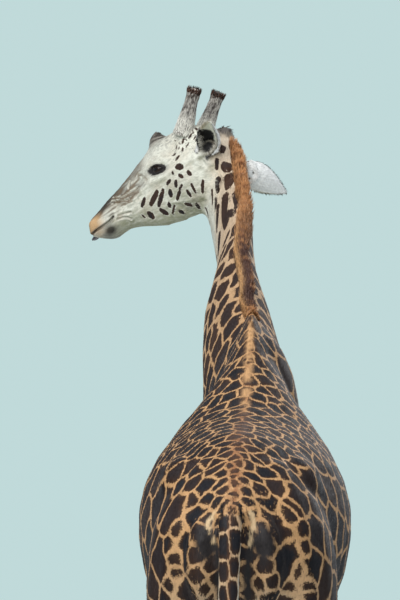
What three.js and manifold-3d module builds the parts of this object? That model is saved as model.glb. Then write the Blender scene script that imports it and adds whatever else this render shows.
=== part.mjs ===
// A Masai giraffe bull, life size, standing square on four feet. It reaches its neck forward and
// turns its head to its left. Millimetres, +Z up, +Y the way the body faces, +X its right side.
//
// Every fleshy part is a loft through rings. The trunk's rings stand across the body, the legs'
// rings lie level, the neck's rings stand across its curve, and the head's stand across the face.
// The lofts are joined into one body, which thin plane cuts then part where the parts are named.
import * as THREE from "three";
import { LoftGeometry } from "three/addons/geometries/LoftGeometry.js";
import { mergeVertices } from "three/addons/utils/BufferGeometryUtils.js";
import Module from "manifold-3d";

const wasm = await Module();
wasm.setup();

const GAP = 1; // clearance between neighbouring solids
const BARREL_EVENED = 4; // ripples finer than this are evened out of the barrel
const FLESH_EVENED = 0.6; // and those finer than this out of all the flesh
const FAR = 9000; // longer than the animal, for cutting boxes

const X = new THREE.Vector3(1, 0, 0);
const Y = new THREE.Vector3(0, 1, 0);
const Z = new THREE.Vector3(0, 0, 1);

// ---- driving dimensions ----
const WITHERS_HEIGHT = 3185;
const CROUP_HEIGHT = 2690;
const TAIL_ROOT_HEIGHT = 2455;
const BELLY_HEIGHT = 1830;
const BARREL_HALF_WIDTH = 394;

const NECK_ROLL = THREE.MathUtils.degToRad(11); // the crest leans right as the head turns left
const HEAD_PITCH = THREE.MathUtils.degToRad(-27); // nose below the level
const HEAD_YAW = THREE.MathUtils.degToRad(58.5); // nose to the left of the body's heading
const HEAD_ROLL = THREE.MathUtils.degToRad(4); // the right side a little lower
const HEAD_PLACE = new THREE.Vector3(-390, 2010, 3752); // midway between the eyes

const EYE_RADIUS = 29;
const EYE_SEAT = [-6, -22]; // behind and below the point that the head is built about
const EYE_SPREAD = 71; // from the middle of the head to the centre of each eye
const EAR_LENGTH = 238;
const EAR_HALF_WIDTH = 57;
const EAR_THICKNESS = 9;
const OSSICONE_LENGTH = 158;
const OSSICONE_RADIUS = 27;
const HOOF_TOE = 172; // from the middle of the leg forward to the tip of the sole
const HOOF_HEEL = 112;
const HOOF_HALF_WIDTH = 108;
const HOOF_HEIGHT = 120;
const HOOF_CLEFT = 10;
const MANE_HEIGHT = 80;
const MANE_HALF_THICKNESS = 29;

// ---- finishes ----
const finish = (color, roughness) => new THREE.MeshStandardMaterial({ color, roughness, metalness: 0 });
const coat = finish(0xb08a5c, 0.85);
const paleCoat = finish(0xe6e0d2, 0.85);
const maneHair = finish(0x9a5a2c, 0.9);
const tuftHair = finish(0x17130f, 0.7);
const horn = finish(0x6a5c4e, 0.85);
const hoofHorn = finish(0x3a3028, 0.55);
const eyeball = finish(0x120c08, 0.1);
const tongueSkin = finish(0x2a2430, 0.45);

// ---- solids ----

// A closed three.js geometry as a solid that can be joined and cut.
function solidOf(geometry) {
  const bare = new THREE.BufferGeometry();
  bare.setAttribute("position", geometry.getAttribute("position").clone());
  bare.setIndex(geometry.index ? geometry.index.clone() : null);
  const merged = mergeVertices(bare, 1e-3);
  return new wasm.Manifold(
    new wasm.Mesh({
      numProp: 3,
      vertProperties: merged.attributes.position.array,
      triVerts: new Uint32Array(merged.index.array),
    }),
  );
}

function geometryOf(solid) {
  const mesh = solid.getMesh();
  const geometry = new THREE.BufferGeometry();
  geometry.setAttribute("position", new THREE.BufferAttribute(new Float32Array(mesh.vertProperties), 3));
  geometry.setIndex(new THREE.BufferAttribute(new Uint32Array(mesh.triVerts), 1));
  return geometry;
}

const giraffe = new THREE.Group();

function addNode(name, solid, material) {
  const geometry = geometryOf(solid);
  geometry.computeVertexNormals();
  const mesh = new THREE.Mesh(geometry, material);
  mesh.name = name;
  giraffe.add(mesh);
}

// All the space on the side of a plane that its normal points to.
function halfSpace(point, normal) {
  const box = new THREE.BoxGeometry(FAR, FAR, FAR).translate(0, 0, FAR / 2);
  const turn = new THREE.Quaternion().setFromUnitVectors(Z, normal.clone().normalize());
  return solidOf(box.applyQuaternion(turn).translate(point.x, point.y, point.z));
}

function joined(solids) {
  return solids.reduce((whole, piece) => whole.add(piece));
}

// A smooth curve through rows of numbers: the first of each row is where the others hold.
function smoothRows(rows) {
  const curve = new THREE.CubicInterpolant(
    rows.map((row) => row[0]),
    rows.flatMap((row) => row.slice(1)),
    rows[0].length - 1,
  );
  return (at) => Array.from(curve.evaluate(at));
}

// Places from first to last, closer together at the ends, where a form rounds off.
function easedSteps(first, last, count) {
  return Array.from({ length: count + 1 }, (_, i) => {
    const even = i / count;
    const eased = 0.5 - 0.5 * Math.cos(Math.PI * even);
    return first + (last - first) * (0.5 * even + 0.5 * eased);
  });
}

// A closed ring about a centre: its half-widths, its reach up and down, and how square it is.
// A squareness of 2 is an ellipse, and less than 2 draws the ring out to a ridge.
function ring(centre, right, up, shape) {
  const { left, rightward, above, below, crest = 2, keel = 2, count } = shape;
  return Array.from({ length: count }, (_, i) => {
    const angle = (2 * Math.PI * i) / count;
    const power = 2 / (Math.cos(angle) > 0 ? crest : keel);
    const across = Math.sign(Math.sin(angle)) * Math.abs(Math.sin(angle)) ** power;
    const along = Math.sign(Math.cos(angle)) * Math.abs(Math.cos(angle)) ** power;
    return centre
      .clone()
      .addScaledVector(right, across * (across > 0 ? rightward : left))
      .addScaledVector(up, along * (along > 0 ? above : below));
  });
}

// The middle of a ring, and the area vector it encloses.
function ringMiddle(points) {
  return points.reduce((sum, point) => sum.add(point), new THREE.Vector3()).divideScalar(points.length);
}
function ringArea(points) {
  const middle = ringMiddle(points);
  return points.reduce((sum, point, i) => {
    const next = points[(i + 1) % points.length];
    return sum.add(point.clone().sub(middle).cross(next.clone().sub(middle)));
  }, new THREE.Vector3());
}

// A loft through rings, all of them wound counterclockwise as seen from its far end.
function loftOf(rings) {
  const onward = ringMiddle(rings[1]).sub(ringMiddle(rings[0]));
  const wound = ringArea(rings[1]).dot(onward) > 0;
  const outward = wound ? rings : rings.map((points) => points.slice().reverse());
  return solidOf(new LoftGeometry(outward, { capStart: true, capEnd: true }));
}

// ---- trunk ----
// Rows run from the buttocks to the breast: y, top, height of the widest place, bottom, half-width,
// crest squareness.
const trunkRow = smoothRows([
  [-840, 2370, 2290, 2210, 40, 2.0],
  [-815, TAIL_ROOT_HEIGHT - 30, 2285, 2120, 105, 2.0],
  [-750, TAIL_ROOT_HEIGHT + 40, 2280, 2030, 175, 1.9],
  [-620, 2595, 2285, 1965, 255, 1.85],
  [-430, CROUP_HEIGHT, 2310, BELLY_HEIGHT + 90, 318, 1.9],
  [-180, 2745, 2360, BELLY_HEIGHT + 35, 378, 2.0],
  [80, 2830, 2385, BELLY_HEIGHT, BARREL_HALF_WIDTH, 1.85],
  [300, 2990, 2400, BELLY_HEIGHT - 8, 362, 1.4],
  [450, 3115, 2410, BELLY_HEIGHT, 314, 1.15],
  [560, WITHERS_HEIGHT, 2430, BELLY_HEIGHT + 40, 276, 1.15],
  [680, 3140, 2450, BELLY_HEIGHT + 130, 246, 1.3],
  [800, 3010, 2480, 2090, 218, 1.6],
  [900, 2820, 2490, 2230, 160, 1.9],
  [950, 2660, 2480, 2330, 70, 2.0],
]);

function trunkLoft(grow = 0) {
  const rings = easedSteps(-840, 950, 20).map((y) => {
    const [top, middle, bottom, halfWidth, crest] = trunkRow(y);
    return ring(new THREE.Vector3(0, y, middle), X, Z, {
      left: halfWidth + grow,
      rightward: halfWidth + grow,
      above: top - middle + grow,
      below: middle - bottom + grow,
      crest,
      keel: 2.0,
      count: 26,
    });
  });
  return loftOf(rings);
}

// The hips, the seat bones on both sides of the tail, and the muscle over the shoulders.
function trunkLumps() {
  const lumps = [-1, 1].flatMap((side) => [
    ellipsoid([side * 194, -340, 2505], [112, 190, 124], 10, 6),
    ellipsoid([side * 112, -720, 2235], [84, 132, 190], 10, 6),
    ellipsoid([side * 148, 585, 2380], [140, 235, 350], 12, 8),
  ]);
  return joined(lumps);
}

// ---- legs ----
// Rows run from the sole up: z, x outwards, y, half-width, reach forward, reach back.
const LEG_FROM = HOOF_HEIGHT + GAP;
const FORELEG_TOP = 2840;
const FORELEG_CUT = 1885;
const forelegRow = smoothRows([
  [120, 195, 584, 84, 100, 88],
  [195, 193, 560, 62, 66, 68],
  [270, 191, 538, 65, 58, 76],
  [345, 190, 535, 50, 46, 56],
  [560, 188, 537, 44, 41, 45],
  [850, 187, 540, 50, 48, 47],
  [960, 187, 542, 70, 68, 59],
  [1060, 187, 542, 72, 71, 61],
  [1160, 186, 543, 58, 58, 58],
  [1400, 184, 548, 64, 72, 74],
  [1680, 180, 550, 80, 98, 98],
  [1880, 180, 548, 98, 120, 138],
  [2080, 186, 562, 116, 158, 172],
  [2300, 180, 590, 122, 206, 190],
  [2520, 150, 584, 104, 196, 172],
  [2700, 112, 545, 72, 132, 132],
  [2840, 78, 500, 32, 60, 66],
]);
const HINDLEG_TOP = 2600;
const HINDLEG_CUT = 1900;
const hindlegRow = smoothRows([
  [120, 186, -512, 82, 96, 84],
  [195, 186, -532, 60, 62, 66],
  [270, 186, -553, 61, 55, 72],
  [345, 186, -560, 48, 44, 54],
  [560, 186, -568, 42, 42, 44],
  [850, 187, -578, 46, 49, 48],
  [1000, 188, -590, 58, 62, 62],
  [1100, 189, -592, 62, 66, 82],
  [1200, 189, -572, 52, 58, 88],
  [1340, 190, -508, 58, 72, 92],
  [1520, 192, -430, 84, 118, 130],
  [1700, 197, -365, 110, 174, 205],
  [1900, 200, -345, 134, 228, 285],
  [2120, 198, -378, 150, 262, 345],
  [2340, 178, -410, 150, 250, 345],
  [2500, 142, -420, 116, 190, 250],
  [2600, 106, -420, 62, 110, 150],
]);
const SWAY = 10; // the hindquarters lean a little to the right
const STRIDE = { fore_left: -55, fore_right: 50, hind_left: 95, hind_right: -45 };
const STRIDE_TOP = 1900; // the legs swing from here down

function legShift(name, z) {
  return STRIDE[name] * Math.max(0, 1 - z / STRIDE_TOP);
}

function legSway(name) {
  return name.startsWith("hind") ? SWAY : 0;
}

function legLoft(name, from, to, count, grow = 0) {
  const row = name.startsWith("fore") ? forelegRow : hindlegRow;
  const side = name.endsWith("left") ? -1 : 1;
  const rings = easedSteps(from, to, count).map((z) => {
    const [x, y, halfWidth, forward, back] = row(z);
    return ring(new THREE.Vector3(side * x + legSway(name), y + legShift(name, z), z), X, Y, {
      left: halfWidth + grow,
      rightward: halfWidth + grow,
      above: forward + grow,
      below: back + grow,
      count: 12,
    });
  });
  return loftOf(rings);
}
const legCut = (name) => (name.startsWith("fore") ? FORELEG_CUT : HINDLEG_CUT);
const legTop = (name) => (name.startsWith("fore") ? FORELEG_TOP : HINDLEG_TOP);
const freeLeg = (name) => legLoft(name, LEG_FROM, legCut(name), 16);
const buriedLeg = (name) => legLoft(name, legCut(name) + GAP, legTop(name), 8);

// ---- neck ----
// Rows run from inside the breast to the skull: y, x, z of the middle, half-width, half-depth.
const neckRow = smoothRows([
  [430, 10, 2620, 110, 330],
  [640, 4, 2700, 182, 405],
  [830, -30, 2820, 166, 372],
  [1060, -66, 3005, 144, 287],
  [1290, -103, 3197, 108, 224],
  [1430, -106, 3307, 78, 200],
  [1600, -112, 3441, 61, 174],
  [1780, -142, 3582, 67, 158],
  [1900, -170, 3690, 73, 150],
  [1985, -192, 3765, 70, 138],
]);
const NECK_FROM = 430;
const NECK_TO = 1985;

function neckPlace(y) {
  const [x, z] = neckRow(y);
  return new THREE.Vector3(x, y, z);
}

// The neck's own directions at y: along it, to its right and up through its crest.
function neckFrame(y) {
  const along = neckPlace(y + 5).sub(neckPlace(y - 5)).normalize();
  const level = new THREE.Vector3().crossVectors(along, Z).normalize();
  const share = Math.sin(Math.PI * THREE.MathUtils.clamp((y - 1080) / 1050, 0, 1));
  const right = level.applyAxisAngle(along, NECK_ROLL * share);
  return { along, right, up: new THREE.Vector3().crossVectors(right, along) };
}

function neckLoft(grow = 0) {
  const rings = easedSteps(NECK_FROM, NECK_TO, 17).map((y) => {
    const [, , halfWidth, halfDepth] = neckRow(y);
    const { right, up } = neckFrame(y);
    return ring(neckPlace(y), right, up, {
      left: halfWidth + grow,
      rightward: halfWidth + grow,
      above: halfDepth + grow,
      below: halfDepth + grow,
      crest: 1.75,
      keel: 2.2,
      count: 20,
    });
  });
  return loftOf(rings);
}

// ---- head ----
// The head is built about the point midway between the eyes, nose along +Y, then set in place.
const headTurn = new THREE.Matrix4()
  .makeRotationZ(HEAD_YAW)
  .multiply(new THREE.Matrix4().makeRotationX(HEAD_PITCH))
  .multiply(new THREE.Matrix4().makeRotationY(HEAD_ROLL))
  .setPosition(HEAD_PLACE);
const intoPlace = (solid) => solidOf(geometryOf(solid).applyMatrix4(headTurn));

// Rows run from the nape to the nose: y, top, height of the widest place, bottom, half-width,
// crest squareness, keel squareness.
const headRow = smoothRows([
  [-318, -45, -105, -170, 52, 2.0, 2.0],
  [-295, -8, -100, -205, 74, 2.0, 2.0],
  [-240, 52, -80, -236, 88, 2.1, 2.0],
  [-165, 97, -55, -252, 95, 2.2, 1.9],
  [-90, 110, -30, -247, 99, 2.1, 1.8],
  [-20, 109, -5, -230, 99, 2.0, 1.7],
  [40, 100, -20, -222, 91, 2.0, 1.7],
  [110, 81, -55, -200, 75, 2.1, 1.8],
  [190, 54, -66, -160, 60, 2.1, 2.0],
  [260, 24, -66, -131, 52, 2.2, 2.2],
  [325, 7, -64, -126, 52, 2.3, 2.2],
  [375, -8, -62, -112, 51, 2.4, 2.2],
  [408, -24, -62, -94, 45, 2.3, 2.2],
  [426, -40, -62, -80, 32, 2.1, 2.1],
  [435, -55, -62, -69, 10, 2.0, 2.0],
]);

function headLoft(grow = 0) {
  const rings = easedSteps(-318, 435, 22).map((y) => {
    const [top, middle, bottom, halfWidth, crest, keel] = headRow(y);
    return ring(new THREE.Vector3(0, y + grow * Math.sign(y), middle), X, Z, {
      left: halfWidth + grow,
      rightward: halfWidth + grow,
      above: top - middle + grow,
      below: middle - bottom + grow,
      crest,
      keel,
      count: 22,
    });
  });
  return loftOf(rings);
}

function ellipsoid(centre, radii, across = 14, down = 10) {
  const ball = new THREE.SphereGeometry(1, across, down).scale(...radii);
  return solidOf(ball.translate(...centre));
}

// The bony lump on the forehead, the one on the nape, the brows over the eyes, and the chin.
function headLumps(grow = 0) {
  const lumps = [
    [[0, 0, 114], [33, 35, 42]],
    [[0, -292, -8], [32, 32, 34]],
    [[0, 336, -100], [38, 44, 35]],
    [[-66, -14, 24], [30, 44, 28]],
    [[66, -14, 24], [30, 44, 28]],
  ];
  return joined(lumps.map(([centre, radii]) => ellipsoid(centre, radii.map((r) => r + grow), 10, 6)));
}

// ---- ossicones ----
// A horn is turned about its own axis: a flared root, a slim shaft and a blunt knob.
function ossiconeProfile(grow = 0) {
  const radius = OSSICONE_RADIUS + grow;
  const half = [
    [0, -34],
    [radius * 1.55, -34],
    [radius * 1.4, 4],
    [radius * 1.16, 44],
    [radius, 86],
    [radius * 0.98, 122],
    [radius * 1.02, OSSICONE_LENGTH - 22],
    [radius * 0.92, OSSICONE_LENGTH - 8],
    [radius * 0.6, OSSICONE_LENGTH - 1],
    [0, OSSICONE_LENGTH + 1],
  ];
  return half.map(([r, z]) => new THREE.Vector2(r, z));
}

function ossicone(side, grow = 0) {
  const turned = new THREE.LatheGeometry(ossiconeProfile(grow), 10).rotateX(Math.PI / 2);
  const lean = new THREE.Vector3(side * 0.1, -0.72, 0.69).normalize();
  turned.applyQuaternion(new THREE.Quaternion().setFromUnitVectors(Z, lean));
  return solidOf(turned.translate(side * 64, -174, 80));
}

// ---- ears ----
// An ear is a cupped leaf. Each ring is a bent strip: a near-closed tube at the root, wide open
// at the middle and shallow at the tip.
const earRow = smoothRows([
  [0, 26, 2.5],
  [0.12, 33, 2.2],
  [0.27, 50, 1.7],
  [0.42, EAR_HALF_WIDTH, 1.4],
  [0.6, 49, 1.15],
  [0.79, 31, 0.9],
  [0.93, 14, 0.7],
  [1, 4, 0.6],
]);
const EAR_POSE = {
  left: { root: [-90, -191, -74], along: [0.26, -0.79, 0.56], opening: [-0.62, -0.55, -0.45] },
  right: { root: [82, -230, -98], along: [0.84, 0.28, -0.47], opening: [-0.3, 0.92, 0.2] },
};

function ear(side) {
  const { root, along, opening } = EAR_POSE[side];
  const rootPlace = new THREE.Vector3(...root).applyMatrix4(headTurn);
  const axis = new THREE.Vector3(...along).normalize();
  const across = new THREE.Vector3().crossVectors(axis, new THREE.Vector3(...opening)).normalize();
  const outwards = new THREE.Vector3().crossVectors(across, axis);
  const STRIP = 6;
  const rings = easedSteps(0, 1, 10).map((t) => {
    const [halfWidth, spread] = earRow(t);
    const radius = halfWidth / (spread > Math.PI / 2 ? 1 : Math.sin(spread));
    const wall = EAR_THICKNESS * (1 - 0.45 * t);
    const bow = 26 * Math.sin(Math.PI * t); // the leaf arches along its length
    const middle = rootPlace
      .clone()
      .addScaledVector(axis, EAR_LENGTH * t)
      .addScaledVector(outwards, radius * Math.cos(spread) - bow);
    const strip = (r, flip) =>
      Array.from({ length: STRIP + 1 }, (_, i) => {
        const angle = spread * (flip * (1 - (2 * i) / STRIP));
        return middle
          .clone()
          .addScaledVector(across, r * Math.sin(angle))
          .addScaledVector(outwards, -r * Math.cos(angle));
      });
    return [...strip(radius, 1), ...strip(radius - wall, -1)];
  });
  return loftOf(rings);
}

// ---- mane ----
// A stiff upright brush along the crest, from the nape lump to the withers.
function maneLoft() {
  const rings = easedSteps(600, 1935, 16).map((y) => {
    const { right, up } = neckFrame(y);
    const [, , , halfDepth] = neckRow(y);
    const crest = neckPlace(y).addScaledVector(up, halfDepth);
    const onWithers = THREE.MathUtils.smoothstep(y, 600, 880);
    crest.lerpVectors(new THREE.Vector3(0, y, trunkRow(y)[0]), crest, onWithers);
    const rise = THREE.MathUtils.smoothstep(y, 500, 960);
    const fall = 1 - 0.5 * THREE.MathUtils.smoothstep(y, 1780, 1935);
    const height = MANE_HEIGHT * rise * fall;
    return ring(crest.addScaledVector(up, -18), right, up, {
      left: MANE_HALF_THICKNESS,
      rightward: MANE_HALF_THICKNESS,
      above: height + 18,
      below: 26,
      crest: 2.6,
      count: 8,
    });
  });
  return loftOf(rings);
}

// ---- tail ----
// Rows run down the tail: z, x, y, half-width, half-depth. The brush of long hair hangs from its end.
const tailRow = smoothRows([
  [800, -4, -905, 20, 16],
  [900, -5, -905, 44, 34],
  [1100, -8, -902, 50, 40],
  [1300, -12, -900, 40, 34],
  [1440, -14, -898, 27, 25],
  [1600, -15, -898, 23, 21],
  [1900, -15, -900, 31, 27],
  [2150, -14, -898, 42, 35],
  [2320, -9, -886, 47, 44],
  [2420, -7, -850, 50, 54],
  [2470, 0, -790, 48, 44],
]);
const TAIL_TOP = 2470;
const BRUSH_TOP = 1440;
const BRUSH_END = 800;

function tailLoft(from, to, count) {
  const rings = easedSteps(from, to, count).map((z) => {
    const [x, y, halfWidth, halfDepth] = tailRow(z);
    return ring(new THREE.Vector3(x, y, z), X, Y, {
      left: halfWidth,
      rightward: halfWidth,
      above: halfDepth,
      below: halfDepth,
      count: 10,
    });
  });
  return loftOf(rings);
}

// ---- hooves ----
// Each foot stands on two claws, a cleft apart: flat soles, and walls that lean in to the leg's end.
function claw(name, toe) {
  const row = name.startsWith("fore") ? forelegRow : hindlegRow;
  const side = name.endsWith("left") ? -1 : 1;
  const [x, y, halfWidth, forward, back] = row(HOOF_HEIGHT);
  const rings = [0, 0.12, 0.5, 1].map((share) => {
    const sole = share === 0 ? 0.975 : 1; // the edge of the sole is worn round
    const mix = (low, high) => (low + (high - low) * share) * sole;
    const middle = new THREE.Vector3(
      side * x + legSway(name) + (toe * HOOF_CLEFT) / 2,
      y + legShift(name, HOOF_HEIGHT),
      share * HOOF_HEIGHT,
    );
    const reach = mix(HOOF_HALF_WIDTH, halfWidth) - HOOF_CLEFT / 2;
    return Array.from({ length: 10 }, (_, i) => {
      const angle = (Math.PI * i) / 9;
      const along = Math.cos(angle) * (angle < Math.PI / 2 ? mix(HOOF_TOE, forward) : mix(HOOF_HEEL, back));
      return middle.clone().add(new THREE.Vector3(toe * reach * Math.sin(angle) ** 0.75, along, 0));
    });
  });
  return loftOf(rings);
}

// ---- tongue ----
// The dark tip just shows between the lips at the front of the mouth.
function tongueTip() {
  return ellipsoid([-4, 414, -84], [15, 26, 8], 10, 6);
}

// ==== assembly ====
giraffe.name = "giraffe";
const LEGS = ["fore_left", "fore_right", "hind_left", "hind_right"];
const largest = (solid) => solid.decompose().reduce((a, b) => (a.volume() > b.volume() ? a : b));
const beyond = ({ point, normal }) => halfSpace(point.clone().addScaledVector(normal, GAP / 2), normal);
const before = ({ point, normal }) =>
  halfSpace(point.clone().addScaledVector(normal, -GAP / 2), normal.clone().negate());

const barrel = joined([trunkLoft(), trunkLumps(), ...LEGS.map(buriedLeg)]).simplify(BARREL_EVENED);
const skull = intoPlace(headLoft().add(headLumps()));
const legRoom = joined(LEGS.map((name) => legLoft(name, LEG_FROM, legCut(name) + GAP, 16, GAP)));
const flesh = joined([barrel, neckLoft(), skull]).subtract(legRoom).simplify(FLESH_EVENED);

// Everything that stands on the flesh is cut clear of it.
const fleshRoom = joined([
  trunkLoft(GAP + BARREL_EVENED),
  neckLoft(GAP),
  intoPlace(headLoft(GAP).add(headLumps(GAP))),
]);

// The neck is parted from the trunk in front of the withers and breast, in its middle, and at the
// skull, on the plane that halves the bend between neck and head.
const breastCut = { point: new THREE.Vector3(0, 845, 2820), normal: new THREE.Vector3(-0.06, 0.93, 0.34) };
const middleCut = { point: neckPlace(1380), normal: neckFrame(1380).along };
const faceAxis = Y.clone().transformDirection(headTurn);
const skullCut = { point: neckPlace(1880), normal: neckFrame(1880).along.add(faceAxis).normalize() };
addNode("trunk", flesh.intersect(before(breastCut)), coat);
addNode("neck_lower", flesh.intersect(beyond(breastCut)).intersect(before(middleCut)), coat);
addNode("neck_upper", flesh.intersect(beyond(middleCut)).intersect(before(skullCut)), coat);

const eyeballs = (side, grow, across, down) =>
  ellipsoid([side * EYE_SPREAD, ...EYE_SEAT], Array(3).fill(EYE_RADIUS + grow), across, down);
const sockets = intoPlace(joined([-1, 1].map((side) => eyeballs(side, 3 * GAP, 10, 6))));
addNode("head", flesh.intersect(beyond(middleCut)).intersect(beyond(skullCut)).subtract(sockets), paleCoat);

for (const [side, word] of [[-1, "left"], [1, "right"]]) {
  addNode(`eye_${word}`, intoPlace(eyeballs(side, 0, 12, 8)), eyeball);
  addNode(`ossicone_${word}`, largest(intoPlace(ossicone(side)).subtract(fleshRoom)), horn);
  addNode(`ear_${word}`, largest(ear(word).subtract(fleshRoom)), paleCoat);
}
addNode("tongue", largest(intoPlace(tongueTip()).subtract(fleshRoom)), tongueSkin);
addNode("mane", largest(maneLoft().subtract(fleshRoom)), maneHair);

for (const name of LEGS) {
  addNode(`leg_${name}`, freeLeg(name), coat);
  addNode(`hoof_${name}_a`, claw(name, -1), hoofHorn);
  addNode(`hoof_${name}_b`, claw(name, 1), hoofHorn);
}
const tailCut = { point: new THREE.Vector3(0, -838, 2425), normal: new THREE.Vector3(0, -0.8, -0.6) };
const tailBones = tailLoft(BRUSH_TOP + GAP, TAIL_TOP, 12);
addNode("tail", largest(tailBones.intersect(beyond(tailCut)).subtract(fleshRoom)), coat);
addNode("tail_brush", tailLoft(BRUSH_END, BRUSH_TOP, 8), tuftHair);

// The origin is on the floor, below the middle of the animal's outline.
const reach = new THREE.Box3().setFromObject(giraffe);
giraffe.position.set(-(reach.min.x + reach.max.x) / 2, -(reach.min.y + reach.max.y) / 2, -reach.min.z);

export default giraffe;
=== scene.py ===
"""A life-size still model of a Masai giraffe bull: hide, hair, horn and hooves round its solids.

The body is described in its own frame: the spine at x = 0, +Y the way it faces, +Z up, in metres.
body_shift takes that frame to the model's, which has its origin below the middle of the outline.
"""
from math import cos, pi, radians, sin

import bmesh
import bpy
import numpy as np
from mathutils import Matrix, Vector, noise
from mathutils.bvhtree import BVHTree
from mathutils.kdtree import KDTree


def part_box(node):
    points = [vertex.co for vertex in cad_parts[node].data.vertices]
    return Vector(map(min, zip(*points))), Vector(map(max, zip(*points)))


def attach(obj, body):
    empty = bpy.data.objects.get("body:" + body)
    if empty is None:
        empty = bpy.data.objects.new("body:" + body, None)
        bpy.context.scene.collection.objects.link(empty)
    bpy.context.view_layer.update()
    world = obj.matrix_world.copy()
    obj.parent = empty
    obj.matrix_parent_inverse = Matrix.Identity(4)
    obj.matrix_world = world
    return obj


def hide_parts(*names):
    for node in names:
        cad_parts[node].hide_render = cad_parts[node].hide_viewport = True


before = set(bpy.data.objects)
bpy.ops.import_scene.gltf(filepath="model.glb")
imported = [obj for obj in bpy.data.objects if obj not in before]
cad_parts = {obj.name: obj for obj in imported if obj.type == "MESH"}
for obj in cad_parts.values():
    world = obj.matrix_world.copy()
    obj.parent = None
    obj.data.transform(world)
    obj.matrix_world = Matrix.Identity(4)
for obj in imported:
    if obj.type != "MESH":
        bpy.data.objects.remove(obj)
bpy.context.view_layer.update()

# ==== Hide: the form of the skin ====
# The hide is one unbroken skin over all the flesh. It starts from the solids of trunk, neck, head,
# legs and tail, fused and evened, and lies inside them by the depth of the coat.
FLESH = [
    "trunk", "neck_lower", "neck_upper", "head", "tail",
    "leg_fore_left", "leg_fore_right", "leg_hind_left", "leg_hind_right",
]
OVERLAP = 0.0015  # each solid is swollen by this, to close the gap to its neighbour
GRAIN = 0.018  # the size of the skin's faces on the body
COAT_DEPTH = 0.004
LID_FILL = 0.032  # a ball that fills each eye socket, for the lids to lie on

# The head's own frame has its origin between the eyes, +Y to the nose and +Z to the crown.
HEAD_YAW, HEAD_PITCH, HEAD_ROLL = radians(58.5), radians(-27), radians(4)
HEAD_IN_BODY = np.array([-0.390, 2.010, 3.752])
EYE_BACK, EYE_BELOW, EYE_SPREAD, EYE_RADIUS = 0.006, 0.022, 0.071, 0.029

head_turn = np.array(
    Matrix.Rotation(HEAD_YAW, 3, "Z")
    @ Matrix.Rotation(HEAD_PITCH, 3, "X")
    @ Matrix.Rotation(HEAD_ROLL, 3, "Y")
)
eye_mid = np.mean([c for side in ("left", "right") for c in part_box(f"eye_{side}")], axis=0)
head_place = eye_mid - head_turn @ np.array([0, -EYE_BACK, -EYE_BELOW])
body_shift = head_place - HEAD_IN_BODY


def in_head(points):
    return (points - head_place) @ head_turn


def from_head(points):
    return np.asarray(points) @ head_turn.T + head_place


def eye_centre(side):
    return from_head([side * EYE_SPREAD, -EYE_BACK, -EYE_BELOW])


def placed(name, data):
    """A new object in the scene."""
    made = bpy.data.objects.new(name, data)
    bpy.context.scene.collection.objects.link(made)
    return made


def mesh_of(name, bm):
    """The mesh that bmesh has been making."""
    mesh = bpy.data.meshes.new(name)
    bm.to_mesh(mesh)
    bm.free()
    return mesh


def add_copy(bm, name, grow):
    """Adds a copy of a solid, its corners merged and its faces moved out, to a mesh in the making."""
    part = bmesh.new()
    part.from_mesh(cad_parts[name].data)
    bmesh.ops.remove_doubles(part, verts=part.verts, dist=1e-5)
    part.normal_update()
    for v in part.verts:
        v.co += v.normal * grow
    copy = mesh_of("copy", part)
    bm.from_mesh(copy)
    bpy.data.meshes.remove(copy)


def remeshed(bm, grain):
    """The mesh fused into one closed surface of even faces."""
    form = placed("form", mesh_of("form", bm))
    fuse = form.modifiers.new("fuse", "REMESH")
    fuse.mode, fuse.voxel_size, fuse.adaptivity = "VOXEL", grain, 0
    depsgraph = bpy.context.evaluated_depsgraph_get()
    fused = bpy.data.meshes.new_from_object(form.evaluated_get(depsgraph), depsgraph=depsgraph)
    bpy.data.objects.remove(form)
    return fused


def read(items, name, width=1, kind=float):
    """One value of every item of a mesh; values of more than one number come as rows."""
    flat = np.empty(len(items) * width, kind)
    items.foreach_get(name, flat)
    return flat.reshape(-1, width) if width > 1 else flat


def points_of(mesh):
    return read(mesh.vertices, "co", 3)


def edges_of(mesh):
    return read(mesh.edges, "vertices", 2, np.int32)


def normals_of(mesh):
    return read(mesh.vertex_normals, "vector", 3)


def set_points(mesh, points):
    mesh.vertices.foreach_set("co", points.astype(np.float32).ravel())
    mesh.update()


def smooth(mesh):
    mesh.polygons.foreach_set("use_smooth", np.ones(len(mesh.polygons), bool))


EASE_FORTH, EASE_BACK = 0.55, -0.57  # one step smooths, and the next gives the form its size back


def evened(values, edges, rounds, share=1.0):
    """Values at points, eased towards their neighbours' and back, round by round."""
    degree = np.maximum(np.bincount(edges.ravel(), minlength=len(values)), 1)[:, None]
    ends = [(edges[:, 0], edges[:, 1]), (edges[:, 1], edges[:, 0])]
    for step in [EASE_FORTH, EASE_BACK] * rounds:
        mean = sum(
            np.stack([np.bincount(a, values[b, k], len(values)) for k in range(values.shape[1])], axis=1)
            for a, b in ends
        ) / degree
        values = values + (mean - values) * step * share
    return values


bm = bmesh.new()
for name in FLESH:
    add_copy(bm, name, OVERLAP)
for side in (-1, 1):
    at_eye = Matrix.Translation(Vector(eye_centre(side)))
    bmesh.ops.create_icosphere(bm, subdivisions=3, radius=LID_FILL, matrix=at_eye)
skin_mesh = remeshed(bm, GRAIN)
set_points(skin_mesh, evened(points_of(skin_mesh), edges_of(skin_mesh), rounds=12))

# The skin's faces are split once at the root of the tail, twice on the head, and a third time round
# its lids, nostrils, lips and temples.
HEAD_FROM = -0.31  # behind the eyes, where the finer faces begin
LID_REACH = 0.046
MOUTH = [(0.046, 0.284, -0.068), (0.050, 0.305, -0.076), (0.049, 0.345, -0.079), (0.043, 0.383, -0.077),
         (0.030, 0.412, -0.075), (0.012, 0.428, -0.073), (0.0, 0.431, -0.072)]
NOSTRIL = [(0.026, 0.404, -0.036), (0.036, 0.392, -0.026), (0.042, 0.374, -0.018), (0.044, 0.352, -0.015)]


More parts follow.
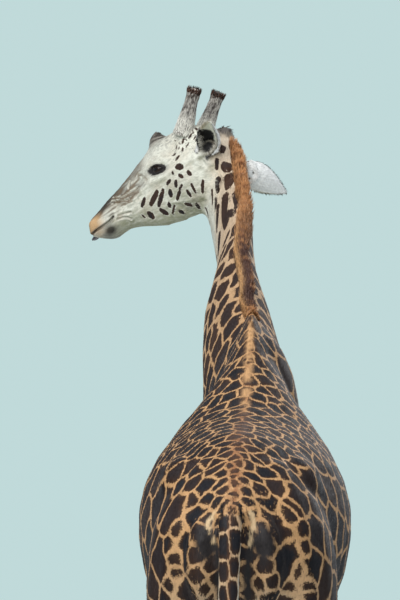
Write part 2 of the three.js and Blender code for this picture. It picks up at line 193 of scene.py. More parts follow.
def curved(route, steps=5):
    """A smooth curve through a few places."""
    ends = [2 * route[0] - route[1], *route, 2 * route[-1] - route[-2]]
    found = []
    for a, b, c, d in zip(ends, ends[1:], ends[2:], ends[3:]):
        for t in np.arange(steps) / steps:
            found.append(0.5 * (2 * b + (c - a) * t + (2 * a - 5 * b + 4 * c - d) * t**2
                                + (3 * b - a - 3 * c + d) * t**3))
    return np.array([*found, route[-1]])


def from_route(points, route):
    """How far each point is from a curve through a few places."""
    nearest = np.full(len(points), np.inf)
    line = curved([np.array(place, float) for place in route])
    for a, b in zip(line, line[1:]):
        along = b - a
        share = np.clip((points - a) @ along / (along @ along), 0, 1)
        nearest = np.minimum(nearest, np.linalg.norm(points - a - share[:, None] * along, axis=1))
    return nearest


def mirrored(route, side):
    return [(side * x, y, z) for x, y, z in route]


def refined(mesh, chosen):
    """Splits the chosen faces in four."""
    bm = bmesh.new()
    bm.from_mesh(mesh)
    edges = {e for face, picked in zip(bm.faces, chosen) if picked for e in face.edges}
    bmesh.ops.subdivide_edges(bm, edges=list(edges), cuts=1, use_grid_fill=True)
    bm.to_mesh(mesh)
    bm.free()


def near_head(points):
    h = in_head(points)
    return (h[:, 1] > HEAD_FROM) & (np.abs(h[:, 0]) < 0.17) & (h[:, 2] > -0.30)


def near_features(points):
    h = in_head(points)
    close = np.zeros(len(points), bool)
    for side in (-1, 1):
        close |= np.linalg.norm(h - in_head(eye_centre(side)), axis=1) < LID_REACH
        close |= from_route(h, mirrored(MOUTH, side)) < 0.010
        close |= from_route(h, mirrored(NOSTRIL, side)) < 0.012
    temple = (h[:, 1] > -0.22) & (h[:, 1] < -0.08) & (h[:, 2] > -0.04) & (h[:, 2] < 0.09)
    return close | temple & (np.abs(h[:, 0]) > 0.035)


def near_tail(points):
    b = points - body_shift
    return (np.abs(b[:, 0]) < 0.16) & (b[:, 1] < -0.70) & (b[:, 2] > 1.9) & (b[:, 2] < 2.56)


for near, rounds in ((near_tail, 3), (near_head, 5), (near_head, 5), (near_features, 3)):
    refined(skin_mesh, near(read(skin_mesh.polygons, "center", 3)))
    nearby = near(points_of(skin_mesh))[:, None].astype(float)
    set_points(skin_mesh, evened(points_of(skin_mesh), edges_of(skin_mesh), rounds, nearby))

# The ears are thin, so they are fused on their own from finer faces and then joined to the head.
EAR_GRAIN = 0.0042
EAR_LENGTH = 0.238
EARS = {  # root in the head's frame, and in the body's the way it points and the way it opens
    "left": ((-0.090, -0.191, -0.074), (0.26, -0.79, 0.56), (-0.62, -0.55, -0.45)),
    "right": ((0.082, -0.230, -0.098), (0.84, 0.28, -0.47), (-0.3, 0.92, 0.2)),
}
EAR_SETTING = 0.045  # round the root, where ear and head are eased into each other


def join_solid(mesh, other):
    """The union of two closed meshes, left in the first."""
    pair = [placed("joining", m) for m in (mesh, other)]
    union = pair[0].modifiers.new("union", "BOOLEAN")
    union.operation, union.solver, union.object = "UNION", "EXACT", pair[1]
    depsgraph = bpy.context.evaluated_depsgraph_get()
    found = bpy.data.meshes.new_from_object(pair[0].evaluated_get(depsgraph), depsgraph=depsgraph)
    for one in pair:
        bpy.data.objects.remove(one)
    return found


ear_corners = {}
for word in EARS:
    bm = bmesh.new()
    add_copy(bm, f"ear_{word}", OVERLAP)
    ear_mesh = remeshed(bm, EAR_GRAIN)
    set_points(ear_mesh, evened(points_of(ear_mesh), edges_of(ear_mesh), rounds=2))
    ear_corners[word] = points_of(ear_mesh)
    skin_mesh = join_solid(skin_mesh, ear_mesh)
points = points_of(skin_mesh)
lookup = KDTree(len(points))
for i, p in enumerate(points):
    lookup.insert(p, i)
lookup.balance()
SAME_PLACE = 1e-4  # a corner this near to one of the ear's is the ear's own
on_ear = {word: np.zeros(len(points), bool) for word in EARS}
for word, places in ear_corners.items():
    for p in places:
        _, i, away = lookup.find(p)
        on_ear[word][i] |= away < SAME_PLACE
on_ears = on_ear["left"] | on_ear["right"]
at_root = np.zeros((len(points), 1))
for root, along, opening in EARS.values():
    away = np.linalg.norm(points - from_head(root), axis=1)
    at_root[:, 0] = np.maximum(at_root[:, 0], np.exp(-((away / EAR_SETTING) ** 2)))
set_points(skin_mesh, evened(points, edges_of(skin_mesh), rounds=4, share=at_root))

# The coat's depth is taken off. It is least on the face and at the feet, where the hair ends at
# the hoof's rim and laps over it.
FACE_DEPTH = 0.002
EAR_DEPTH = 0.0016
RIM = (0.125, 0.160)  # the heights between which the leg flares out over the hooves
HAIR_LAP, HAIR_FLARE = 0.014, 0.004  # how far the skin reaches down and out over them


def eased(values, low, high):
    """0 below low, 1 above high, and smooth between them."""
    share = np.clip((values - low) / (high - low), 0, 1)
    return share * share * (3 - 2 * share)


points, normals = points_of(skin_mesh), normals_of(skin_mesh)
on_face = eased(in_head(points)[:, 1], -0.30, -0.10) * near_head(points)
off_foot = eased(points[:, 2], 0.13, 0.22)
depth = (COAT_DEPTH + (FACE_DEPTH - COAT_DEPTH) * on_face) * off_foot + OVERLAP
depth = np.where(on_ears, EAR_DEPTH, depth)
points = points - normals * depth[:, None]
at_rim = (1 - eased(points[:, 2], *RIM))[:, None]
points = points + at_rim * (normals * [1, 1, 0] * HAIR_FLARE - np.array([0, 0, HAIR_LAP]))

# Muscle, bone and folds of the body. Each row is mirrored to both sides of the spine.
BODY_SWELLINGS = [  # where, reach across, along and up, and height
    ((0.235, -0.13, 2.56), (0.075, 0.10, 0.065), 0.014),  # point of the hip
    ((0.105, -0.80, 2.335), (0.045, 0.05, 0.055), 0.014),  # seat bone
    ((0.215, 0.86, 2.33), (0.07, 0.07, 0.08), 0.016),  # point of the shoulder
    ((0.245, 0.43, 1.985), (0.05, 0.055, 0.06), 0.020),  # elbow
    ((0.265, -0.10, 1.93), (0.06, 0.07, 0.08), 0.014),  # stifle
    ((0.27, -0.50, 2.05), (0.12, 0.15, 0.26), 0.012),  # outer thigh
    ((0.19, 0.62, 1.02), (0.05, 0.03, 0.055), 0.007),  # front of the knee
    ((0.19, -0.69, 1.13), (0.035, 0.04, 0.04), 0.009),  # point of the hock
    ((0.045, -0.875, 2.32), (0.030, 0.06, 0.17), 0.014),  # root of the tail
]
BODY_GROOVES = [  # route, width and depth
    ([(0.15, 0.38, 3.02), (0.27, 0.36, 2.75), (0.34, 0.33, 2.40), (0.30, 0.38, 2.05)], 0.045, 0.012),
    ([(0.20, 0.70, 2.85), (0.25, 0.74, 2.60), (0.23, 0.82, 2.42)], 0.030, 0.010),
    ([(0.33, -0.06, 2.42), (0.33, -0.12, 2.20), (0.27, -0.12, 1.98)], 0.040, 0.012),
    ([(0.16, -0.76, 2.36), (0.23, -0.72, 2.10), (0.27, -0.62, 1.82), (0.22, -0.50, 1.50)], 0.026, 0.008),
    ([(0.225, -0.52, 1.34), (0.225, -0.585, 1.16), (0.222, -0.60, 1.02)], 0.012, 0.006),
    ([(0.150, -0.52, 1.34), (0.150, -0.585, 1.16), (0.155, -0.60, 1.02)], 0.012, 0.006),
    ([(0.225, 0.50, 0.90), (0.222, 0.50, 0.60), (0.226, 0.515, 0.36)], 0.012, 0.005),
    ([(0.150, 0.50, 0.90), (0.152, 0.50, 0.60), (0.152, 0.515, 0.36)], 0.012, 0.005),
    ([(0.225, -0.615, 0.90), (0.222, -0.605, 0.60), (0.226, -0.595, 0.36)], 0.012, 0.005),
    ([(0.150, -0.615, 0.90), (0.152, -0.605, 0.60), (0.152, -0.595, 0.36)], 0.012, 0.005),
    ([(0.052, -0.86, 2.40), (0.066, -0.88, 2.30), (0.070, -0.87, 2.16), (0.060, -0.80, 1.98)],
     0.030, 0.030),  # the pit beside the tail
]


def swollen(points, normals, middle, reach, height):
    away = (points - np.array(middle)) / np.array(reach)
    return points + normals * (height * np.exp(-(away**2).sum(axis=1)))[:, None]


def grooved(points, normals, route, width, depth, rim=0.0):
    """Cuts a rounded groove along a route, with a raised rim at its sides."""
    away = from_route(points, route) / width
    cut = depth * np.exp(-(away**2)) - rim * np.exp(-((away - 1.9) ** 2))
    return points - normals * cut[:, None]


body = points - body_shift
for side in (-1, 1):
    for middle, reach, height in BODY_SWELLINGS:
        body = swollen(body, normals, mirrored([middle], side)[0], reach, height)
    for route, width, depth in BODY_GROOVES:
        body = grooved(body, normals, mirrored(route, side), width, depth)
points = body + body_shift
set_points(skin_mesh, points)

# The head, in its own frame: cheek, jaw, temple, folds, nostrils, mouth and lids.
HEAD_SWELLINGS = [
    ((0.086, -0.08, -0.115), (0.05, 0.085, 0.075), 0.008),  # cheek muscle
    ((0.066, -0.165, 0.085), (0.045, 0.050, 0.045), 0.012),  # root of the horn
    ((0.070, -0.165, -0.195), (0.04, 0.05, 0.04), 0.006),  # angle of the jaw
    ((0.088, -0.09, 0.030), (0.03, 0.045, 0.035), -0.008),  # temple
    ((0.070, 0.11, -0.005), (0.03, 0.055, 0.028), -0.006),  # hollow before the eye
    ((0.042, 0.372, -0.052), (0.022, 0.045, 0.016), 0.005),  # upper lip
    ((0.034, 0.402, -0.026), (0.018, 0.022, 0.014), 0.004),  # wing of the nostril
    ((0.034, 0.372, -0.098), (0.024, 0.040, 0.018), 0.004),  # lower lip
    ((0.075, -0.235, -0.150), (0.035, 0.030, 0.080), -0.012),  # hollow behind the jaw
    ((0.082, -0.195, -0.060), (0.03, 0.035, 0.04), 0.008),  # root of the ear
    ((0.010, 0.275, 0.005), (0.04, 0.085, 0.04), 0.0055),  # bridge of the nose
    ((0.010, 0.035, 0.125), (0.035, 0.03, 0.045), 0.0065),  # lump on the forehead
    ((0.034, 0.315, -0.108), (0.03, 0.035, 0.02), 0.004),  # chin
]
HEAD_GROOVES = [  # route, width, depth and rim
    ([(0.085, 0.045, -0.050), (0.098, -0.03, -0.062), (0.100, -0.11, -0.062), (0.094, -0.17, -0.060)],
     0.014, -0.005, 0.0),  # the cheek bone stands out
    ([(0.078, 0.055, -0.048), (0.066, 0.13, -0.056), (0.056, 0.19, -0.058)], 0.011, -0.003, 0.0),
    ([(0.058, 0.02, -0.150), (0.060, -0.06, -0.185), (0.062, -0.13, -0.205)], 0.010, -0.003, 0.0),
    ([(0.035, 0.30, -0.118), (0.044, 0.22, -0.132), (0.054, 0.12, -0.150)], 0.012, 0.003, 0.0),
]
CHEEK_FOLDS = [
    [(0.036, 0.262, 0.000), (0.051, 0.224, -0.019), (0.057, 0.188, -0.032), (0.062, 0.150, -0.038),
     (0.070, 0.119, -0.042)],
    [(0.040, 0.266, -0.011), (0.050, 0.230, -0.030), (0.059, 0.189, -0.050), (0.068, 0.153, -0.056),
     (0.075, 0.122, -0.052)],
    [(0.046, 0.247, -0.021), (0.055, 0.208, -0.040), (0.062, 0.168, -0.047), (0.072, 0.125, -0.047)],
    [(0.047, 0.244, -0.034), (0.052, 0.216, -0.050), (0.059, 0.192, -0.058), (0.063, 0.168, -0.063)],
    [(0.057, 0.185, -0.023), (0.062, 0.151, -0.028), (0.066, 0.125, -0.030)],
    [(0.050, 0.158, 0.014), (0.052, 0.168, -0.001), (0.054, 0.175, -0.015)],
    [(0.049, 0.262, -0.078), (0.051, 0.228, -0.085), (0.053, 0.199, -0.095)],
    [(0.046, 0.270, -0.086), (0.048, 0.246, -0.092), (0.047, 0.227, -0.103), (0.042, 0.216, -0.115)],
    [(0.060, 0.105, 0.020), (0.066, 0.090, 0.012), (0.075, 0.072, -0.010), (0.082, 0.060, -0.030)],
]
NECK_FOLDS, NECK_FOLD_STEP = 4, 0.022
neck_folds = [
    [(0.093, -0.205 - back, -0.085), (0.090, -0.220 - back, -0.150), (0.074, -0.235 - back, -0.215)]
    for back in (NECK_FOLD_STEP * fold for fold in range(NECK_FOLDS))
]
HEAD_GROOVES += [(route, 0.0040, 0.0046, 0.0018) for route in CHEEK_FOLDS]
HEAD_GROOVES += [(route, 0.009, 0.0085, 0.0035) for route in neck_folds]
LID_OPENING = (radians(62), radians(25))  # half the eye's opening, along it and across
LID_TILT = radians(20)  # the front corner is the higher
LID_THICKNESS = 0.0032
EYE_HIDDEN = 0.0225  # the skin inside the opening lies this far from the eye's centre


def eye_frame(side):
    """The eye's centre in the head's frame, and the directions outward, forward and up of its opening."""
    centre = np.array([side * EYE_SPREAD, -EYE_BACK, -EYE_BELOW])
    outward = np.array([side * 0.985, 0.14, 0.08])
    outward /= np.linalg.norm(outward)
    forward = np.array([0, cos(LID_TILT), sin(LID_TILT)])
    forward -= outward * (forward @ outward)
    forward /= np.linalg.norm(forward)
    return centre, outward, forward, np.cross(outward, forward) * side


def lid_limit(turn):
    """The angle from the eye's axis to the lid's edge; the corners are drawn out to points."""
    half_height = LID_OPENING[1] * np.where(np.sin(turn) > 0, 1.05, 0.95)
    edge = np.abs(np.cos(turn) / LID_OPENING[0]) ** 1.6 + np.abs(np.sin(turn) / half_height) ** 1.6
    return edge ** (-1 / 1.6)


def about_eye(h, side):
    """How far out of the opening each point is (1 at the lid's edge), its heading, distance and turn."""
    centre, outward, forward, upward = eye_frame(side)
    away = h - centre
    distance = np.linalg.norm(away, axis=1)
    heading = away / distance[:, None]
    turn = np.arctan2(heading @ upward, heading @ forward)
    return np.arccos(np.clip(heading @ outward, -1, 1)) / lid_limit(turn), heading, distance, turn


def lidded(h, side):
    """Draws the skin over the eyeball, with an almond opening between two lids."""
    share, heading, distance, turn = about_eye(h, side)
    upper = np.sin(turn) > 0
    lid = EYE_RADIUS + LID_THICKNESS
    roll = 0.0016 * np.exp(-(((share - 1.13) / 0.09) ** 2))
    roll = roll + 0.003 * np.exp(-(((share - 1.25) / 0.2) ** 2)) * upper
    wanted = EYE_HIDDEN + (lid + roll - EYE_HIDDEN) * eased(share, 0.93, 1.03)
    fold = 0.0024 * np.exp(-(((share - np.where(upper, 1.55, 1.60)) / 0.10) ** 2))
    hold = 1 - eased(share, 1.20, 1.85)
    hold *= 1 - eased(distance, 0.046, 0.062)
    reached = distance + (wanted - distance) * hold - fold * (distance < 0.06)
    return eye_frame(side)[0] + heading * reached[:, None]


points, normals = points_of(skin_mesh), normals_of(skin_mesh)
picked = near_head(points)
h, n = in_head(points[picked]), normals[picked] @ head_turn
for side in (-1, 1):
    for middle, reach, height in HEAD_SWELLINGS:
        h = swollen(h, n, mirrored([middle], side)[0], reach, height)
    for route, width, depth, rim in HEAD_GROOVES:
        h = grooved(h, n, mirrored(route, side), width, depth, rim)
    h = grooved(h, n, mirrored(MOUTH, side), 0.0042, 0.0085, 0.0018)
    h = grooved(h, n, mirrored(NOSTRIL, side), 0.0048, 0.010, 0.0026)
    h = lidded(h, side)
points[picked] = from_head(h)
set_points(skin_mesh, points)

smooth(skin_mesh)
skin = placed("skin", skin_mesh)
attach(skin, "root")
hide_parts(*FLESH, "ear_left", "ear_right")

# ==== Hide: the markings ====
# Dark patches part along pale lines. Each patch grows from a seed on the skin, and a line runs
# where two patches meet. Skin and hair carry the same values: how near the line is, how wide it
# is there, how pale the ground and how warm the patch, and the tint of lips, lids and ears, with painted
# shade in folds and hollows.
NECK_LINE = [  # the middle of the neck, from inside the breast to the skull
    (0.010, 0.430, 2.620), (0.004, 0.640, 2.700), (-0.030, 0.830, 2.820), (-0.066, 1.060, 3.005),
    (-0.103, 1.290, 3.197), (-0.106, 1.430, 3.307), (-0.112, 1.600, 3.441), (-0.142, 1.780, 3.582),
    (-0.170, 1.900, 3.690), (-0.192, 1.985, 3.765),
]
SKULL_LINE = [(0, -0.24, -0.09), (0, 0.0, -0.06), (0, 0.20, -0.05), (0, 0.36, -0.06)]
LEG_LINES = {
    "fore_left": [(-0.195, 0.53, 0.12), (-0.187, 0.50, 0.95), (-0.182, 0.54, 1.5), (-0.18, 0.56, 2.2)],
    "fore_right": [(0.195, 0.63, 0.12), (0.187, 0.565, 0.95), (0.182, 0.555, 1.5), (0.18, 0.56, 2.2)],
    "hind_left": [(-0.176, -0.42, 0.12), (-0.178, -0.52, 1.0), (-0.18, -0.52, 1.3), (-0.18, -0.38, 1.9)],
    "hind_right": [(0.196, -0.55, 0.12), (0.198, -0.60, 1.0), (0.20, -0.54, 1.3), (0.20, -0.38, 1.9)],
}
TAIL_LINE = [(-0.004, -0.80, 2.46), (-0.008, -0.86, 2.40), (-0.012, -0.895, 2.2), (-0.015, -0.90, 1.6),
             (-0.008, -0.905, 0.8)]


def unit(rows):
    return rows / np.linalg.norm(rows, axis=1)[:, None]


def along_route(points, route, upward):
    """Each point's place about a route: how far along it, the turn round it, and its directions."""
    line = curved([np.array(place, float) for place in route], steps=8)
    run = unit(np.gradient(line, axis=0))
    lengths = np.concatenate([[0], np.cumsum(np.linalg.norm(np.diff(line, axis=0), axis=1))])
    nearest = np.argmin(((points[:, None, :] - line[None]) ** 2).sum(axis=2), axis=1)
    along = run[nearest]
    away = points - line[nearest]
    lead = (away * along).sum(axis=1)
    side = unit(np.cross(along, np.array(upward, float)))
    up = np.cross(side, along)
    turn = np.arctan2((away * side).sum(axis=1), (away * up).sum(axis=1))
    reach = np.linalg.norm(away, axis=1)
    past = np.arcsin(np.clip(lead / np.maximum(reach, 1e-6), -1, 1))
    return {"far": lengths[nearest] + past * np.minimum(reach, 0.4), "turn": turn, "along": along, "up": up,
            "total": lengths[-1], "reach": reach}


def blend(low, high, share):
    return low + (high - low) * share


def hide_plan(points, normals):
    """Where each point is: in the body's and the head's frame, along neck and tail, and on which part."""
    b, h = points - body_shift, in_head(points)
    _, y, z = b.T
    neck = along_route(b, NECK_LINE, (0, 0, 1))
    tail = along_route(b, TAIL_LINE, (0, -1, 0))
    on_head = eased(h[:, 1] + 0.25 * (h[:, 2] + 0.1), -0.30, -0.20) * (np.linalg.norm(h, axis=1) < 0.62)
    on_head = np.maximum(on_head, on_ears * 1.0)
    on_neck = eased(y + 0.5 * (z - 2.8), 0.62, 0.95) * (1 - on_head)
    on_leg = 1 - eased(z, 1.62, 1.95)
    on_tail = (tail["reach"] < 0.075) & (y < -0.86) & (z < 2.40)
    return {"b": b, "h": h, "n": normals, "neck": neck, "tail": tail, "head": on_head, "on_neck": on_neck,
            "leg": on_leg, "on_tail": on_tail}


def tangent(directions, normals):
    """Directions laid flat on the skin."""
    flat = directions - normals * (directions * normals).sum(axis=1)[:, None]
    return flat / np.maximum(np.linalg.norm(flat, axis=1), 1e-9)[:, None]


def patch_shapes(plan):
    """The lie, length and width of the patches, and the half-width of the line round them."""
    (x, y, z), n = plan["b"].T, plan["n"]
    side = np.sign(x + 1e-6)
    back = eased(n[:, 2], 0.15, 0.75) * eased(z, 2.35, 2.60)
    rump = eased(-n[:, 1], 0.35, 0.8) * eased(-y, 0.3, 0.6)
    aside, along = side * blend(0.35, 0.85, back), blend(-0.35, -0.62, back) * (1 - rump)
    lie = np.stack([aside, along, -np.ones(len(x)) * 0.8], axis=1)
    length, width = blend(0.150, 0.080, back), blend(0.118, 0.052, back)
    low = 1 - eased(z, 1.9, 2.45)
    length = blend(length, blend(0.072, 0.062, low), rump)
    width = blend(width, blend(0.063, 0.056, low), rump)
    finer = 1 - 0.38 * np.exp(-((x / 0.075) ** 2)) * eased(z, 2.25, 2.45) * eased(-y, 0.35, 0.6)
    length, width = length * finer, width * finer
    gap = blend(0.0070, 0.0040, back)
    gap = blend(gap, blend(0.0058, 0.0066, low), rump)
    # the neck's patches run along it, and grow smaller and further apart towards the head
    neck, up_neck = plan["on_neck"], plan["neck"]["far"] / plan["neck"]["total"]
    outwards = side[:, None] * np.array([0.55, 0, 0])
    slant = plan["neck"]["along"] * -1.0 + outwards * (1 - 0.6 * up_neck[:, None])
    length = blend(length, blend(0.150, 0.110, up_neck), neck)
    width = blend(width, blend(0.104, 0.086, up_neck), neck)
    gap = blend(gap, blend(0.0078, 0.0155, up_neck), neck)
    lie = lie + (slant - lie) * neck[:, None]
    # down the legs they shrink to spots
    leg, down = plan["leg"], 1 - eased(z, 0.25, 1.75)
    length = blend(length, blend(0.078, 0.034, down), leg)
    width = blend(width, blend(0.066, 0.027, down), leg)
    gap = blend(gap, blend(0.0072, 0.0082, down), leg)
    lie = lie + (np.array([0.2, 0, -1.0]) - lie) * leg[:, None]
    # the head has smaller ones, of which only those at its border with the neck are left to show
    head, h = plan["head"], plan["h"]
    cheek = eased(-h[:, 2], 0.05, 0.10) * eased(-h[:, 1], -0.16, -0.05)
    temple = eased(h[:, 2] + 0.30 * h[:, 1], -0.06, 0.0)
    slope = np.tile((0, -0.72, 0.70), (len(x), 1)) @ head_turn.T
    length = blend(length, blend(blend(0.040, 0.054, cheek), 0.024, temple), head)
    width = blend(width, blend(blend(0.034, 0.033, cheek), 0.018, temple), head)
    gap = blend(gap, blend(blend(0.0095, 0.0085, cheek), 0.0058, temple), head)
    lie = lie + (slope - lie) * head[:, None]
    tail = plan["on_tail"]
    lie[tail] = plan["tail"]["along"][tail]
    length, width = np.where(tail, TAIL_SPOT_STEP, length), np.where(tail, TAIL_SPOT_WIDTH, width)
    border = np.exp(-(((np.abs(plan["tail"]["turn"]) - 1.35) / 0.35) ** 2))
    return tangent(lie, n), length, width, np.where(tail, 0.0036 + 0.0075 * border, gap)


def metric_of(lie, length, width, normals):
    """The measure in which a patch is a round of radius one half, one matrix to a point."""
    across = np.cross(normals, lie)
    return (
        lie[:, :, None] * lie[:, None, :] / length[:, None, None] ** 2
        + across[:, :, None] * across[:, None, :] / width[:, None, None] ** 2
        + normals[:, :, None] * normals[:, None, :] / length[:, None, None] ** 2
    )


def wavering(points, size, amount, seed):
    """Soft random shifts of points, for lines that waver."""
    offset = Vector((seed, 2 * seed, 3 * seed))
    return np.array([noise.noise_vector(Vector(p) / size + offset) for p in points]) * amount


def spread_seeds(points, metric, seed, closeness=0.80, rounds=2):
    """Seeds spread evenly over the skin, each as far from the next as its patch is large."""
    order = np.random.default_rng(seed).permutation(len(points))
    kept = np.empty(len(points), np.int32)
    spots, count = np.empty((len(points), 3)), 0
    for i in order:
        away = spots[:count] - points[i]
        near = np.flatnonzero(np.abs(away).max(axis=1) < 0.2) if count else []
        if len(near):
            close = away[near]
            if ((close @ metric[i]) * close).sum(axis=1).min() < closeness**2:
                continue
        spots[count], kept[count] = points[i], i
        count += 1
    kept = kept[:count]
    for _ in range(rounds):  # each seed moves to the middle of what it has won
        owner = nearest_seeds(points, points[kept], metric[kept], 1, np.zeros(count))[:, 0]
        share = np.bincount(owner, minlength=count)[:, None].clip(1)
        middle = np.stack([np.bincount(owner, points[:, k], count) for k in range(3)], axis=1) / share
        away = ((points - middle[owner]) ** 2).sum(axis=1)
        ranked = np.lexsort((away, owner))
        first = ranked[np.searchsorted(owner[ranked], np.arange(count)).clip(max=len(ranked) - 1)]
        kept = np.where(share[:, 0] > 1, first, kept)
    return kept


def seed_values(points, spots, metric, weight):
    """How far each point is from every seed, squared, in the seeds' own measures; heavy seeds win more."""
    g = metric
    squares = [g[:, 0, 0], g[:, 1, 1], g[:, 2, 2]]
    terms = np.stack([*squares, 2 * g[:, 0, 1], 2 * g[:, 0, 2], 2 * g[:, 1, 2]], axis=1)
    pull = np.einsum("sij,sj->si", g, spots)
    rest = (pull * spots).sum(axis=1, keepdims=True)
    x, y, z = points.T
    squares = [x * x, y * y, z * z, x * y, x * z, y * z]
    powers = np.stack([*squares, -2 * x, -2 * y, -2 * z, np.ones(len(x))], axis=1)
    return powers @ np.concatenate([terms, pull, rest - weight[:, None]], axis=1).T


def nearest_seeds(points, spots, metric, count, weight, cell=0.2, margin=0.17):
    """The seeds each point is nearest to, in any order; worked out one block of space at a time."""
    blocks = np.floor(points / cell).astype(int)
    names, which = np.unique(blocks, axis=0, return_inverse=True)
    which = which.ravel()
    order = np.argsort(which, kind="stable")
    starts = np.searchsorted(which[order], np.arange(len(names) + 1))
    found = np.empty((len(points), count), np.int64)
    for number, name in enumerate(names):
        own = order[starts[number] : starts[number + 1]]
        middle = (name + 0.5) * cell
        near = np.flatnonzero(np.abs(spots - middle).max(axis=1) < 0.5 * cell + margin)
        if len(near) <= count:
            near = np.arange(len(spots))
        values = seed_values(points[own] - middle, spots[near] - middle, metric[near], weight[near])
        if count == 1:
            found[own] = near[values.argmin(axis=1)][:, None]
        else:
            found[own] = near[np.argpartition(values, count, axis=1)[:, :count]]
    return found


def corner_vertices(mesh):
    return read(mesh.loops, "vertex_index", 1, np.int32)


def face_of_corner(mesh):
    sizes = read(mesh.polygons, "loop_total", 1, np.int32)
    return np.repeat(np.arange(len(sizes)), sizes)


def write_values(mesh, name, values, kind="FLOAT_VECTOR", domain="POINT"):
    """Gives every point, or corner of a face, a value that the materials read by its name."""
    made = mesh.attributes.new(name, kind, domain)
    key = {"FLOAT": "value", "FLOAT_VECTOR": "vector", "FLOAT_COLOR": "color"}[kind]
    made.data.foreach_set(key, values.astype(np.float32).ravel())


TAIL_SPOT_STEP, TAIL_SPOT_WIDTH = 0.088, 0.046
TAIL_COLUMNS = {-1.9: 0.35, -0.60: 0.0, 0.60: 0.18, 1.9: 0.6}  # turn round the tail: share of a step down
UNEVENNESS = 0.09  # how much the luckiest seed wins from its neighbours


def tail_seeds(own):
    """Four columns of seeds down the tail, two behind and two before, a little out of step."""
    far, turn = plan["tail"]["far"][own], plan["tail"]["turn"][own]
    found = []
    for middle, lag in TAIL_COLUMNS.items():
        for step in np.arange(0.02 + TAIL_SPOT_STEP * lag, far.max(), TAIL_SPOT_STEP):
            found.append(own[np.argmin(((far - step) / 0.03) ** 2 + ((turn - middle) / 0.5) ** 2)])
    return np.unique(found)


points, normals = points_of(skin_mesh), normals_of(skin_mesh)
plan = hide_plan(points, normals)
lie, length, width, gap = patch_shapes(plan)
metric = metric_of(lie, length, width, normals)
waver = blend(1.0, 0.35, plan["head"]) + 0.7 * plan["on_neck"] * (1 - plan["head"])
waver = blend(waver, 0.3, plan["on_tail"])[:, None]
wavered = points + waver * (wavering(points, 0.075, 0.014, 3.1) + wavering(points, 0.034, 0.007, 9.7))
corners, faces = corner_vertices(skin_mesh), face_of_corner(skin_mesh)
middles = np.stack([np.bincount(faces, wavered[corners, k]) for k in range(3)], axis=1)
middles = middles / np.bincount(faces)[:, None]
bounds, chance = np.zeros((len(corners), 3)), np.zeros((len(corners), 3))
tail_faces = np.bincount(faces, plan["on_tail"][corners]) > 2
for number, group in enumerate((tail_faces, ~tail_faces)):
    own = np.flatnonzero(plan["on_tail"] if number == 0 else ~plan["on_tail"])
    kept = own[spread_seeds(points[own], metric[own], seed=20 + number)] if number else tail_seeds(own)
    spots, measure = points[kept], metric[kept]
    luck, weight = np.random.default_rng(40 + number).random((2, len(kept)))
    weight = UNEVENNESS * weight**2 * (plan["head"][kept] < 0.5)
    three = nearest_seeds(middles[group], spots, measure, 3, weight)
    held = np.flatnonzero(group[faces])
    trio = three[(np.cumsum(group) - 1)[faces[held]]]
    place = wavered[corners[held]]
    scale = 0.5 * (length + width)[corners[held]]
    away = place[:, None, :] - spots[trio]
    value = np.einsum("csi,csij,csj->cs", away, measure[trio], away) - weight[trio]
    for column, (a, b) in enumerate(((0, 1), (0, 2), (1, 2))):
        between = spots[trio[:, a]] - spots[trio[:, b]]
        mean = 0.5 * (measure[trio[:, a]] + measure[trio[:, b]])
        span = np.sqrt(np.einsum("ci,cij,cj->c", between, mean, between)).clip(0.3)
        bounds[held, column] = (value[:, b] - value[:, a]) / (2 * span) * scale
    chance[held] = luck[trio]
write_values(skin_mesh, "bounds", bounds, domain="CORNER")
write_values(skin_mesh, "chance", chance, domain="CORNER")
write_values(skin_mesh, "place", points)


def around(places, middle, reach):
    return np.exp(-(((places - np.array(middle)) / np.array(reach)) ** 2).sum(axis=1))


# How pale the ground is, how warm the patches are, and how strong the rust along the ridge is.
x, y, z = plan["b"].T
h, up_neck = plan["h"], plan["neck"]["far"] / plan["neck"]["total"]
under = eased(-normals[:, 2], 0.35, 0.9)
throat = plan["on_neck"] * eased(np.abs(plan["neck"]["turn"]), 0.9, 2.4)
pale = 0.04 + 0.26 * (1 - eased(z, 1.8, 2.35)) + 0.30 * under
pale = blend(pale, blend(0.05, 0.70, up_neck.clip(0, 1) ** 2.4) + 0.3 * throat, plan["on_neck"])
pale = blend(pale, blend(0.55, 0.85, 1 - eased(z, 0.4, 1.4)), plan["leg"])
pale = np.clip(blend(pale, 1.0, plan["head"]), 0, 1)
warm = 0.08 + 0.25 * (1 - eased(z, 1.9, 2.35))
warm = blend(warm, blend(0.35, 0.62, up_neck), plan["on_neck"])
warm = np.clip(blend(warm, 0.75, plan["leg"]), 0, 1)
warm = blend(warm, 0.30, plan["head"])
croup = around(plan["b"], (0, -0.45, 2.55), (9, 0.35, 0.35))
ridge = np.exp(-((x / (0.016 + 0.024 * croup)) ** 2)) * eased(normals[:, 2], -0.3, 0.3) * eased(z, 2.3, 2.5)
ridge = ridge * (1 - plan["on_neck"]) * (1 - plan["head"])
tail_turn = np.abs(plan["tail"]["turn"])
ridge = np.where(plan["on_tail"], 0.75 * np.exp(-((tail_turn * plan["tail"]["reach"] / 0.007) ** 2)), ridge)
pale = np.where(plan["on_tail"], blend(0.20, 0.85, eased(tail_turn, 0.9, 1.5)), pale)
zone_values = np.stack([pale, warm, ridge], axis=1)
write_values(skin_mesh, "zone", zone_values)

# Bare and tinted places, with painted shade in folds, under the jaw, in the ears' hollows and in the pits
# beside the tail: a colour, and how far it covers the markings.
tint = np.zeros((len(points), 4))


def tinted(colour, cover):
    """Lays a colour over the tint so far."""
    cover = np.clip(cover, 0, 1)[:, None]
    old, before = tint[:, :3], tint[:, 3:]
    mixed = old * before * (1 - cover) + np.array(colour) * cover
    total = before * (1 - cover) + cover
    tint[:, :3] = np.where(before + cover > UNSEEN, mixed / np.maximum(total, UNSEEN), old)
    tint[:, 3:] = total


